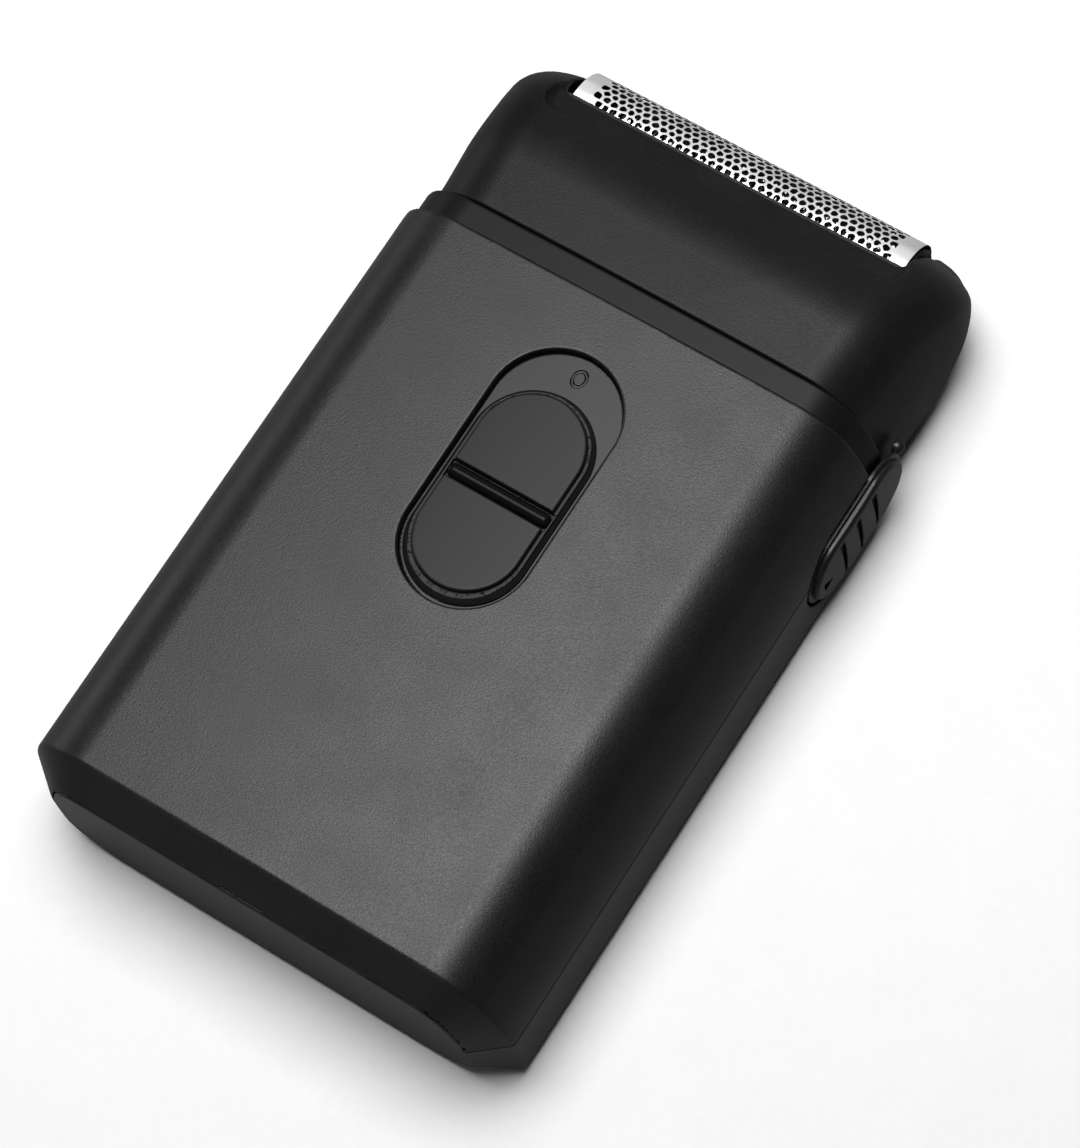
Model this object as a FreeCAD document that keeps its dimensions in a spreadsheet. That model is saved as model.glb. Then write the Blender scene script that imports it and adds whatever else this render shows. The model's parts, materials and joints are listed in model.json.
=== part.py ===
"""Flat foil shaver: parametric document of its casing, drive, foil head and rear trimmer.

Frame, in millimetres: +X across the casing, +Y from the heel towards the foil, +Z out of the
front face. The casing lies on its back; the origin is on the back face, mid-way along it.
"""
import FreeCAD, Part
import math
import os
import Sketcher
from FreeCAD import Placement, Rotation, Vector

DRIVING = {
    # casing
    "half_width": 31.0, "depth": 26.0, "seam_z": 12.0, "wall": 1.6, "seam_gap": 0.12,
    "heel_y": -51.3, "bevel_y": -47.9, "bevel_in": 4.2, "casing_top": 25.0,
    "shoulder_x": 21.56, "shoulder_z": 17.7, "shoulder_r": 8.0, "back_r": 3.0, "heel_back_r": 7.0,
    "heel_lift": 1.4, "inner_step": 1.3,
    # casing screws
    "screw_x": 20.0, "screw_y": -43.0, "side_screw_x": 22.0, "side_screw_y": 17.5,
    "screw_shank": 1.0, "screw_head": 1.9, "screw_sink": 2.6, "boss_r": 3.1, "post_r": 2.5,
    "screw_len": 15.0,
    # charging port
    "port_y": -38.0, "port_half_w": 4.4, "port_half_t": 1.6, "port_depth": 7.4, "port_gap": 0.15,
    "port_skin": 0.3,
    # power switch
    "recess_half": 7.64, "recess_low": -6.1, "recess_high": 10.8, "recess_deep": 1.5,
    "floor_plate": 0.5, "recess_back": 3.0, "switch_travel": 4.6, "slide_play": 0.1,
    "slider_half": 7.2, "slider_base": 0.75, "pad_half": 6.55, "pad_rise": 0.75,
    "pad_split": 1.1, "bar_r": 0.55, "stem_half": 2.0, "stem_long": 3.0, "clip_thick": 0.75,
    # circuit board
    "board_z": 9.4, "board_thick": 1.0, "board_left": -27.3, "board_right": -11.7,
    "board_low": -47.0, "board_high": 15.5, "board_wing": 9.5, "board_wing_y": -12.0,
    # battery cell
    "cell_r": 7.0, "cell_x": 19.5, "cell_z": 11.6, "cell_low": -36.0, "cell_high": 14.0,
    # motor
    "motor_z": 11.0, "motor_r": 10.2, "motor_flat": 7.55, "motor_front": 21.5, "motor_long": 25.0,
    "motor_cap": 2.6, "nose_r": 3.0, "nose_long": 1.4, "shaft_r": 1.0, "shaft_fit": 0.05,
    "crank_r": 3.5, "crank_low": 24.7, "crank_high": 27.5, "crank_throw": 1.0, "crank_pin": 0.8,
    "crank_pin_top": 31.0,
    # neck
    "neck_low": 21.5, "neck_floor": 24.0, "collar_low": 25.08, "collar_top": 28.2,
    "collar_in": 0.8, "spigot_top": 32.0, "spigot_in": 3.7, "neck_back": 4.65,
    "well_x": 17.0, "well_low": 6.9, "well_high": 18.1,
    # foil head
    "head_half": 29.4, "head_front": 25.2, "head_back": 4.55, "head_low": 28.3, "head_top": 53.4,
    "head_wall": 1.5, "head_shoulder_x": 20.3, "head_shoulder_z": 17.2, "head_shoulder_r": 7.7,
    "flank_y": 37.0, "flank_r": 80.0, "horn_r": 4.0, "horn_in": 22.25,
    "ledge_y": 42.7, "lip_y": 46.2, "lip_z": 20.3, "mouth_half": 6.55, "mouth_z": 19.05,
    # foil and cutters
    "foil_y": 47.0, "foil_z": 12.5, "foil_r": 5.6, "foil_thick": 0.15, "foil_half": 21.75,
    "foil_foot": 42.6, "frame_half": 22.05, "frame_low": 41.6, "frame_high": 46.9,
    "frame_out": 6.4, "foil_float": 1.2,
    "blade_r": 5.2, "blade_in": 3.8, "blade_thick": 0.3, "blade_pitch": 1.4, "blade_count": 27,
    "block_low": 41.0, "block_high": 43.0, "block_half": 19.4, "block_out": 4.6,
    "coil_r": 2.2, "wire_r": 0.25, "coil_pitch": 0.95,
    # oscillating bridge
    "deck_low": 35.5, "deck_high": 37.5, "deck_half": 15.0, "deck_z0": 8.0, "deck_z1": 17.0,
    "fork_in": 3.0, "fork_out": 4.3, "fork_low": 28.2, "leg_x": 13.6, "leg_thick": 0.6,
    "foot_high": 26.0, "post_x": 11.5, "post_thin": 1.5, "post_top": 41.7, "post_fit": 0.08,
    # trimmer
    "trim_low": 25.2, "trim_high": 47.0, "trim_back": 0.9, "trim_front": 4.4, "trim_half": 28.6,
    "tongue_z0": 1.75, "tongue_z1": 3.2, "tongue_half": 10.0, "tongue_low": 8.0,
    "arm_low": 15.0, "arm_high": 19.8, "arm_in": 27.6, "arm_out": 29.2,
    "trim_travel": 8.0, "knob_z": 9.25, "knob_half": 5.1, "knob_low": 11.8, "knob_high": 30.1,
    "knob_in": 30.45, "knob_step": 31.0, "knob_out": 31.95, "flange": 0.5,
    "slot_half": 6.25, "slot_low": 10.9,
    "comb_half": 14.0, "comb_low": 43.0, "comb_high": 48.4, "comb_z0": 2.3, "comb_z1": 2.9,
    "mover_half": 12.6, "mover_low": 44.0, "mover_high": 48.1, "mover_z0": 2.98, "mover_z1": 3.5,
    "tooth_pitch": 1.4, "tooth_gap": 0.6, "tooth_deep": 1.8,
    "lever_y": 37.5, "lever_arm": 7.5, "lever_half": 1.3, "lever_pin": 0.8,
}


class Size:
    """A length that carries its number and the sheet expression that gives it."""

    def __init__(self, number, text):
        self.number = float(number)
        self.text = text

    @staticmethod
    def of(value):
        return value if isinstance(value, Size) else Size(value, repr(float(value)))

    def _with(self, sign, other, number):
        return Size(number, f"({self.text} {sign} {Size.of(other).text})")

    def __add__(self, other):
        return self._with("+", other, self.number + Size.of(other).number)

    def __sub__(self, other):
        return self._with("-", other, self.number - Size.of(other).number)

    def __mul__(self, other):
        return self._with("*", other, self.number * Size.of(other).number)

    def __truediv__(self, other):
        return self._with("/", other, self.number / Size.of(other).number)

    def __radd__(self, other):
        return Size.of(other) + self

    def __rsub__(self, other):
        return Size.of(other) - self

    def __rmul__(self, other):
        return Size.of(other) * self

    def __neg__(self):
        return Size(-self.number, f"(0 - {self.text})")


doc = FreeCAD.newDocument("foil_shaver")
sheet = doc.addObject("Spreadsheet::Sheet", "Dims")
for row, (alias, value) in enumerate(DRIVING.items(), start=1):
    sheet.set(f"A{row}", alias)
    sheet.set(f"B{row}", str(value))
    sheet.setAlias(f"B{row}", alias)
doc.recompute()


class Dims:
    """The sheet's cells as Size values, one attribute for each alias."""

    def __getattr__(self, alias):
        return Size(sheet.get(alias), f"Dims.{alias}")


D = Dims()
finished = []


# ---------------------------------------------------------------- helpers

def bind(thing, path, size):
    """Ties one property of an object to the sheet."""
    thing.setExpression(path, Size.of(size).text)


def place(thing, x, y, z, turn=None):
    """Puts an object at a point bound to the sheet, turned by an optional rotation."""
    at = [Size.of(v) for v in (x, y, z)]
    thing.Placement = Placement(Vector(*[v.number for v in at]), turn or Rotation())
    for letter, value in zip("xyz", at):
        bind(thing, f"Placement.Base.{letter}", value)


def block(name, low, high):
    """A box between two corners."""
    box = doc.addObject("Part::Box", name)
    for path, a, b in zip(("Length", "Width", "Height"), low, high):
        bind(box, path, Size.of(b) - a)
    place(box, *low)
    return box


TURNS = {
    "X": Rotation(Vector(0, 1, 0), 90),
    "Y": Rotation(Vector(1, 0, 0), -90),
    "Z": Rotation(),
}


def rod(name, radius, start, length, along="Y"):
    """A cylinder from a start point along one of the axes."""
    cylinder = doc.addObject("Part::Cylinder", name)
    bind(cylinder, "Radius", radius)
    bind(cylinder, "Height", length)
    place(cylinder, *start, TURNS[along])
    return cylinder


def join(name, *pieces):
    """The union of several objects."""
    union = doc.addObject("Part::MultiFuse", name)
    union.Shapes = list(pieces)
    return union


def carve(name, base, *tools):
    """The base object less every tool."""
    result = doc.addObject("Part::Cut", name)
    result.Base = base
    result.Tool = tools[0] if len(tools) == 1 else join(f"{name}_tools", *tools)
    return result


def meet(name, *pieces):
    """The volume that several objects share."""
    common = doc.addObject("Part::MultiCommon", name)
    common.Shapes = list(pieces)
    return common


def keep(node, piece):
    """Names a finished sub-part; the name is also its file's."""
    piece.Label = node
    finished.append(piece)
    return piece


def flat_plane(body, role):
    """The origin plane of a body with the given role."""
    return next(f for f in body.Origin.OriginFeatures if f.Role == role)


def arc_through(p, q, radius):
    """The short counter-clockwise arc from p to q."""
    chord = q - p
    half = chord.Length / 2
    rise = math.sqrt(max(radius * radius - half * half, 0.0))
    left = Vector(-chord.y, chord.x, 0).normalize()
    centre = (p + q) / 2 + left * rise
    start = math.atan2(p.y - centre.y, p.x - centre.x)
    end = math.atan2(q.y - centre.y, q.x - centre.x)
    circle = Part.Circle(centre, Vector(0, 0, 1), radius)
    return Part.ArcOfCircle(circle, start, end if end > start else end + 2 * math.pi)


def draw(body, name, role, offset, outline):
    """Draws a closed outline of lines and arcs on an origin plane of a body.

    The outline lists corners (x, y) or (x, y, radius), counter-clockwise; the radius makes
    the stretch to the next corner an arc.
    """
    sketch = body.newObject("Sketcher::SketchObject", name)
    sketch.AttachmentSupport = [(flat_plane(body, role), "")]
    sketch.MapMode = "FlatFace"
    shift = Size.of(offset)
    sketch.AttachmentOffset = Placement(Vector(0, 0, shift.number), Rotation())
    bind(sketch, "AttachmentOffset.Base.z", shift)
    corners = [(Size.of(c[0]), Size.of(c[1]), Size.of(c[2]) if len(c) > 2 else None)
               for c in outline]
    points = [Vector(c[0].number, c[1].number, 0) for c in corners]
    count = len(corners)
    for i, (_, _, radius) in enumerate(corners):
        p, q = points[i], points[(i + 1) % count]
        if radius is None:
            sketch.addGeometry(Part.LineSegment(p, q), False)
        else:
            sketch.addGeometry(arc_through(p, q, radius.number), False)
    for i in range(count):
        sketch.addConstraint(Sketcher.Constraint("Coincident", i, 2, (i + 1) % count, 1))
    for i, (x, y, radius) in enumerate(corners):
        for kind, size in (("DistanceX", x), ("DistanceY", y)):
            row = sketch.addConstraint(Sketcher.Constraint(kind, -1, 1, i, 1, size.number))
            bind(sketch, f"Constraints[{row}]", size)
        if radius is not None:
            row = sketch.addConstraint(Sketcher.Constraint("Radius", i, radius.number))
            bind(sketch, f"Constraints[{row}]", radius)
    return sketch


def prism(name, plane, outline, low, high):
    """A body padded from an outline on plane XY, XZ or YZ, between two offsets."""
    body = doc.addObject("PartDesign::Body", name)
    low, high = Size.of(low), Size.of(high)
    offset = -high if plane == "XZ" else low
    sketch = draw(body, f"{name}_outline", f"{plane}_Plane", offset, outline)
    pad = body.newObject("PartDesign::Pad", f"{name}_pad")
    pad.Profile = sketch
    bind(pad, "Length", high - low)
    body.Tip = pad
    return body


def loft(name, sections):
    """A body of straight-sided stretches through outlines at rising Y."""
    body = doc.addObject("PartDesign::Body", name)
    drawn = [draw(body, f"{name}_section{i}", "XZ_Plane", -Size.of(y), outline)
             for i, (y, outline) in enumerate(sections)]
    skin = body.newObject("PartDesign::AdditiveLoft", f"{name}_loft")
    skin.Profile = drawn[0]
    skin.Sections = drawn[1:]
    skin.Ruled = True
    body.Tip = skin
    return body


def stadium(half, low, high, middle=0.0):
    """A slot outline along its second axis between the centres low and high."""
    middle = Size.of(middle)
    quarter = [
        (middle + half, high, half), (middle, Size.of(high) + half, half),
        (middle - half, high), (middle - half, low, half),
        (middle, Size.of(low) - half, half), (middle + half, low),
    ]
    return quarter


def casing_outline(half, front, back, corner_x, corner_z, corner_r, back_r):
    """A cross-section: a barely crowned front, shoulders in two arcs and upright sides."""
    half, corner_r = Size.of(half), Size.of(corner_r)
    across = corner_x - half
    rise = corner_z - D.seam_z
    side_r = (corner_r * corner_r - across * across - rise * rise) / ((across + corner_r) * 2)
    drop = corner_z - front
    crown_r = ((corner_r * corner_r - corner_x * corner_x - drop * drop)
               / ((drop + corner_r) * 2))
    side_centre = half - side_r
    lean = side_r - corner_r
    low_x = corner_x + (corner_x - side_centre) / lean * corner_r
    low_z = corner_z + rise / lean * corner_r
    reach = crown_r - corner_r
    high_x = corner_x + corner_x / reach * corner_r
    high_z = corner_z + (drop + crown_r) / reach * corner_r
    upper = [
        (half, D.seam_z, side_r), (low_x, low_z, corner_r), (high_x, high_z, crown_r),
        (-high_x, high_z, corner_r), (-low_x, low_z, side_r), (-half, D.seam_z),
    ]
    if back_r is None:
        return [(-half, back), (half, back)] + upper
    back_r = Size.of(back_r)
    return [
        (back_r - half, back), (half - back_r, back, back_r), (half, back + back_r),
        *upper, (-half, back + back_r, back_r),
    ]


def casing_ring(inset, back, back_r):
    """The casing's cross-section, drawn in by an inset."""
    return casing_outline(D.half_width - inset, D.depth - inset, Size.of(back), D.shoulder_x,
                          D.shoulder_z, D.shoulder_r - inset, back_r)


def casing_ring_flat(inset, back):
    """The casing's cross-section drawn in by an inset, flat at the back."""
    return casing_outline(D.half_width - inset, D.depth - inset, Size.of(back), D.shoulder_x,
                          D.shoulder_z, D.shoulder_r - inset, None)


def head_ring(inset, back):
    """The foil head's cross-section, drawn in by an inset and flat at the back."""
    return casing_outline(D.head_half - inset, D.head_front - inset, Size.of(back),
                          D.head_shoulder_x, D.head_shoulder_z, D.head_shoulder_r - inset, None)


def screw_group(name, spots, shank, length, head, head_long, along="Z"):
    """Equal screws as one object; each spot is the inner end of a head."""
    pieces = []
    for i, (x, y, z) in enumerate(spots):
        pieces.append(rod(f"{name}_shank{i}", shank, (x, y, z), length, along))
        start = {"Z": (x, y, Size.of(z) - head_long), "Y": (x, y, z)}[along]
        pieces.append(rod(f"{name}_head{i}", head, start, head_long, along))
    return join(name, *pieces)


# ---------------------------------------------------------------- casing

def casing_hollow(name):
    """The whole casing as one hollow, open at the neck."""
    heel = D.heel_y
    outer = loft(f"{name}_outer", [
        (heel, casing_ring(D.bevel_in, D.heel_lift, D.heel_back_r)),
        (D.bevel_y, casing_ring(Size.of(0), 0.0, D.back_r)),
        (D.casing_top, casing_ring(Size.of(0), 0.0, D.back_r)),
    ])
    deep = D.bevel_in + D.inner_step
    inner = loft(f"{name}_inner", [
        (heel + D.wall, casing_ring(deep, D.heel_lift + D.inner_step, D.heel_back_r - D.inner_step)),
        (D.bevel_y + D.inner_step, casing_ring(D.wall, D.wall, D.back_r - D.wall)),
        (D.casing_top + 1, casing_ring(D.wall, D.wall, D.back_r - D.wall)),
    ])
    return carve(name, outer, inner)


def seam_tool(name, gap):
    """The space of the back shell: below the seam, and the whole flat heel panel."""
    below = block(f"{name}_below", (-40.0, -60.0, -2.0), (40.0, 40.0, D.seam_z + gap))
    inset = D.bevel_in - gap
    panel = prism(f"{name}_panel", "XZ", casing_ring(inset, D.heel_lift, D.heel_back_r),
                  D.heel_y - 1, D.heel_y + D.wall)
    return join(name, below, panel)


def knob_slot(name):
    """The open-ended slot in the right side that the trimmer knob runs in."""
    outline = [
        (D.slot_low + D.slot_half, D.knob_z + D.slot_half, D.slot_half),
        (D.slot_low, D.knob_z, D.slot_half),
        (D.slot_low + D.slot_half, D.knob_z - D.slot_half),
        (D.casing_top + 2, D.knob_z - D.slot_half),
        (D.casing_top + 2, D.knob_z + D.slot_half),
    ]
    return prism(name, "YZ", outline, 29.0, 33.0)


def port_outline(grow):
    """The charging port's round-ended outline, grown by a margin."""
    half_t = D.port_half_t + grow
    low, high = D.port_y - D.port_half_w + D.port_half_t, D.port_y + D.port_half_w - D.port_half_t
    return [
        (low, D.seam_z - half_t), (high, D.seam_z - half_t, half_t),
        (high + half_t, D.seam_z, half_t), (high, D.seam_z + half_t),
        (low, D.seam_z + half_t, half_t), (low - half_t, D.seam_z, half_t),
    ]


def port_hole(name):
    """The charging port's opening through the left side."""
    return prism(name, "YZ", port_outline(D.port_gap), -33.0, -29.0)


screw_spots = [(D.screw_x, D.screw_y), (-D.screw_x, D.screw_y), (-D.side_screw_x, D.side_screw_y)]


def build_back_shell():
    """Back half of the casing, with the heel panel and the screw bosses."""
    wall = meet("back_wall", casing_hollow("back_hollow"), seam_tool("back_space", 0.0))
    solid = [wall]
    holes = [knob_slot("back_slot"), port_hole("back_port")]
    for i, (x, y) in enumerate(screw_spots):
        solid.append(rod(f"back_boss{i}", D.boss_r, (x, y, 0.8), D.seam_z - 0.9, "Z"))
        holes.append(rod(f"back_bore{i}", D.screw_shank + 0.15, (x, y, -1), D.seam_z + 2, "Z"))
        holes.append(rod(f"back_sink{i}", D.screw_head + 0.3, (x, y, -1), D.screw_sink + 1, "Z"))
    keep("back_shell", carve("back_form", join("back_solid", *solid), *holes))


def build_front_shell():
    """Front half of the casing, with the switch recess, its thick floor and screw posts."""
    wall = carve("front_wall", casing_hollow("front_hollow"), seam_tool("front_space", D.seam_gap))
    thick = prism("front_recess_back", "XY",
                  stadium(D.recess_half + 1.4, D.recess_low, D.recess_high),
                  D.depth - D.recess_back, D.depth - 0.8)
    solid = [wall, thick]
    recess = prism("front_recess", "XY", stadium(D.recess_half, D.recess_low, D.recess_high),
                   D.depth - D.recess_deep, D.depth + 1)
    holes = [recess, stem_slot("front_stem_slot", D.depth - D.recess_back - 1, D.depth),
             knob_slot("front_slot"), port_hole("front_port")]
    for i, (x, y) in enumerate(screw_spots):
        low = D.seam_z + 0.1
        solid.append(rod(f"front_post{i}", D.post_r, (x, y, low), D.depth - 1.2 - low, "Z"))
        holes.append(rod(f"front_pilot{i}", D.screw_shank + 0.03, (x, y, low - 1), 8.5, "Z"))
    keep("front_shell", carve("front_form", join("front_solid", *solid), *holes))


def build_screws():
    spots = [(x, y, D.screw_sink) for x, y in screw_spots]
    keep("housing_screws", screw_group("screw_form", spots, D.screw_shank, D.screw_len,
                                       D.screw_head, 1.3))


# ---------------------------------------------------------------- power switch

stem_y = (D.recess_low + D.recess_high - D.switch_travel) / 2


def stem_slot(name, low, high):
    """The opening that the slider's stem travels in."""
    return block(name, (-D.stem_half - 0.3, stem_y - D.stem_long - 0.3, low),
                 (D.stem_half + 0.3, stem_y + D.stem_long + D.switch_travel + 0.3, high))


floor_top = D.depth - D.recess_deep + D.floor_plate
slider_low = D.recess_low + (D.recess_half - D.slider_half)
slider_high = D.recess_high - D.switch_travel - 0.1


def build_switch():
    """The recess floor, the sliding switch and the clip that holds it from inside."""
    plate = prism("floor_plate_body", "XY",
                  stadium(D.recess_half - 0.05, D.recess_low, D.recess_high),
                  D.depth - D.recess_deep, floor_top)
    slot = stem_slot("floor_stem_slot", D.depth - D.recess_deep - 1, floor_top + 1)
    keep("switch_floor", carve("floor_form", plate, slot))

    base_low = floor_top + D.slide_play
    base_high = base_low + D.slider_base
    pad_high = base_high + D.pad_rise
    base = prism("slider_base_body", "XY", stadium(D.slider_half, slider_low, slider_high),
                 base_low, base_high)
    pads = prism("slider_pad_body", "XY", stadium(D.pad_half, slider_low, slider_high),
                 base_low, pad_high)
    split = block("slider_split", (-D.pad_half - 1, stem_y - D.pad_split, base_high),
                  (D.pad_half + 1, stem_y + D.pad_split, pad_high + 1))
    bar = rod("slider_bar", D.bar_r, (-D.pad_half + 0.1, stem_y, base_high - 0.05),
              D.pad_half * 2 - 0.2, "X")
    stem_low = D.depth - D.recess_back - D.slide_play
    stem = block("slider_stem", (-D.stem_half, stem_y - D.stem_long, stem_low),
                 (D.stem_half, stem_y + D.stem_long, base_low + 0.1))
    padded = carve("slider_pads_cut", pads, split)
    keep("power_slider", join("slider_form", base, padded, bar, stem))

    clip_high, clip_low = stem_low, stem_low - D.clip_thick
    web = block("clip_web", (-15.2, stem_y - D.stem_long - 1, clip_low),
                (5.0, stem_y + D.stem_long + 1, clip_high))
    leg = block("clip_leg", (-15.2, stem_y - 2, 14.4), (-14.2, stem_y + 2, clip_low))
    prongs = [block(f"clip_prong{i}", (-16.6, stem_y + a, 13.6), (-14.2, stem_y + b, 16.0))
              for i, (a, b) in enumerate(((-2.0, -1.0), (1.0, 2.0)))]
    keep("slider_clip", join("clip_form", web, leg, *prongs))


# ---------------------------------------------------------------- electrics

board_top = D.board_z + D.board_thick


def build_board():
    """Circuit board beside the motor with its switch, charging port and parts."""
    outline = [
        (D.board_left, D.board_low), (-14.0, D.board_low), (-14.0, D.screw_y + 5),
        (D.board_wing, D.screw_y + 5), (D.board_wing, D.board_wing_y),
        (D.board_right, D.board_wing_y), (D.board_right, D.board_high - 3),
        (D.board_left + 1, D.board_high - 3),
    ]
    plate = prism("board_body", "XY", outline, D.board_z, board_top)
    hole = rod("board_boss_hole", D.boss_r + 0.4, (-D.screw_x, D.screw_y, D.board_z - 1),
               D.board_thick + 2, "Z")
    keep("circuit_board", carve("board_form", plate, hole))

    half = 7.4
    middle = stem_y + D.switch_travel / 2
    case = block("switch_case", (-18.6, middle - half, board_top), (-13.0, middle + half, 13.2))
    gap = block("switch_gap", (-16.6, middle - 5, 12.2), (-14.6, middle + 5, 14.0))
    keep("board_switch", carve("switch_form", case, gap))
    keep("switch_lever", block("lever_form", (-16.3, stem_y - 0.9, 12.3), (-14.9, stem_y + 0.9, 14.2)))

    mouth = -D.half_width + 0.5
    inner_end = mouth + D.port_depth
    shell = prism("port_shell", "YZ", port_outline(0.0), mouth, inner_end)
    space = prism("port_space", "YZ", port_outline(-D.port_skin), mouth - 1, inner_end - 1)
    reach = D.port_half_w - 1.1
    tongue = block("port_tongue", (mouth + 0.8, D.port_y - reach, D.seam_z - 0.35),
                   (inner_end - 0.9, D.port_y + reach, D.seam_z + 0.35))
    keep("charging_port", join("port_form", carve("port_case", shell, space), tongue))

    chips = [block(f"chip{i}", (x, y, board_top), (x + a, y + b, board_top + c)) for i, (x, y, a, b, c)
             in enumerate(((-22, -28, 5, 4, 1.2), (-6, -30, 6, 6, 3.0), (1, -24, 3, 1.6, 0.8),
                           (-12, -22, 2, 1.2, 0.7), (-24, -12, 3, 1.6, 1.0)))]
    keep("board_parts", join("chips_form", *chips))


def build_cell():
    """Rechargeable cell with its end cap and solder tabs."""
    can = rod("cell_can", D.cell_r, (D.cell_x, D.cell_low, D.cell_z), D.cell_high - D.cell_low - 1.2)
    keep("battery_cell", can)
    keep("battery_cap", rod("cell_cap", 2.8, (D.cell_x, D.cell_high - 1.2, D.cell_z), 1.2))
    low_tab = block("tab_low", (4.0, D.cell_low - 0.3, board_top), (D.cell_x + 2, D.cell_low, 14.0))
    end_tab = block("tab_end", (11.8, D.cell_high, D.cell_z - 2),
                    (D.cell_x + 2, D.cell_high + 0.3, D.cell_z + 2))
    strip = block("tab_strip", (11.8, -11.5, D.cell_z - 2), (12.1, D.cell_high + 0.3, D.cell_z + 2))
    turn = block("tab_turn", (8.0, -14.5, board_top), (8.3, -11.5, 13.0))
    foot = block("tab_foot", (8.0, -11.8, D.cell_z - 1), (12.1, -11.5, D.cell_z + 1.4))
    keep("battery_tabs", join("tabs_form", low_tab, end_tab, strip, turn, foot))


# ---------------------------------------------------------------- motor and neck

def flatted(name, radius, flat, low, high):
    """A round motor body with two flats."""
    round_part = rod(f"{name}_round", radius, (0, low, D.motor_z), Size.of(high) - low)
    slab = block(f"{name}_slab", (-12.0, low, D.motor_z - flat), (12.0, high, D.motor_z + flat))
    return meet(name, round_part, slab)


motor_back = D.motor_front - D.motor_long
motor_screw_x = 7.0
foot_screw_x = 13.9
foot_z = 15.4


def build_motor():
    can = flatted("motor_body", D.motor_r, D.motor_flat, motor_back, D.motor_front)
    nose = rod("motor_nose", D.nose_r, (0, D.motor_front, D.motor_z), D.nose_long)
    bore = rod("motor_bore", D.shaft_r + D.shaft_fit, (0, D.motor_front - 9, D.motor_z), 12.0)
    taps = [rod(f"motor_tap{i}", 0.86, (side * motor_screw_x, D.motor_front - 4, D.motor_z), 5.0)
            for i, side in enumerate((-1, 1))]
    keep("motor_can", carve("can_form", join("can_nose", can, nose), bore, *taps))
    keep("motor_end_cap", flatted("cap_form", D.motor_r - 0.5, D.motor_flat - 0.4,
                                  motor_back - D.motor_cap, motor_back))
    tabs = [block(f"motor_tab{i}", (side * 6 - 1, motor_back - D.motor_cap - 2.4, D.motor_z - 0.2),
                  (side * 6 + 1, motor_back - D.motor_cap, D.motor_z + 0.2))
            for i, side in enumerate((-1, 1))]
    keep("motor_terminals", join("terminals_form", *tabs))
    keep("motor_screws", motor_screws())


def motor_screws():
    """Two short screws through the neck wall into the motor's front."""
    pieces = []
    for i, side in enumerate((-1, 1)):
        x = side * motor_screw_x
        pieces.append(rod(f"motor_screw{i}", 0.83, (x, D.motor_front - 3, D.motor_z), 5.6))
        pieces.append(rod(f"motor_screw_head{i}", 1.5, (x, D.neck_floor, D.motor_z), 1.1))
    return join("motor_screws_form", *pieces)


def build_rotor():
    """Motor shaft and the eccentric pressed on it."""
    start = D.motor_front - 8
    keep("motor_shaft", rod("shaft_form", D.shaft_r, (0, start, D.motor_z), D.crank_high - 0.3 - start))
    disc = rod("crank_disc", D.crank_r, (0, D.crank_low, D.motor_z), D.crank_high - D.crank_low)
    pin = rod("crank_pin_rod", D.crank_pin, (D.crank_throw, D.crank_high - 0.2, D.motor_z),
              D.crank_pin_top - D.crank_high + 0.2)
    bore = rod("crank_bore", D.shaft_r, (0, D.crank_low - 1, D.motor_z),
               D.crank_high - 0.3 - D.crank_low + 1)
    keep("eccentric", carve("crank_form", join("crank_solid", disc, pin), bore))


def build_neck():
    """Neck frame: motor wall, visible collar and the spigot that carries the foil head."""
    snug = D.wall + 0.15
    plug = prism("neck_plug", "XZ", casing_ring_flat(snug, D.neck_back), D.neck_low, D.collar_low + 0.1)
    collar = prism("neck_collar", "XZ", casing_ring_flat(D.collar_in, D.neck_back),
                   D.collar_low, D.collar_top)
    spigot = prism("neck_spigot", "XZ", casing_ring_flat(D.spigot_in, 6.3), D.collar_top - 0.1,
                   D.spigot_top)
    well = block("neck_well", (-D.well_x, D.neck_floor, D.well_low),
                 (D.well_x, D.spigot_top + 1, D.well_high))
    nose = rod("neck_nose_hole", D.nose_r + 0.1, (0, D.neck_low - 1, D.motor_z), 4.0)
    holes = [rod(f"neck_screw_hole{i}", 0.95, (side * motor_screw_x, D.neck_low - 1, D.motor_z), 4.0)
             for i, side in enumerate((-1, 1))]
    feet = [rod(f"neck_foot_hole{i}", 0.8, (side * foot_screw_x, D.neck_low - 1, foot_z), 4.0)
            for i, side in enumerate((-1, 1))]
    relief = block("neck_relief", (D.arm_in - 0.25, D.neck_low - 1, 0.0),
                   (D.half_width + 4, D.collar_top + 1, D.seam_z + 0.7))
    boss = rod("neck_boss_relief", D.boss_r + 0.4, (-D.side_screw_x, D.side_screw_y, 0), 30.0, "Z")
    keep("neck_frame", carve("neck_form", join("neck_solid", plug, collar, spigot), well, nose,
                             relief, boss, *holes, *feet))


# ---------------------------------------------------------------- oscillating bridge

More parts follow.
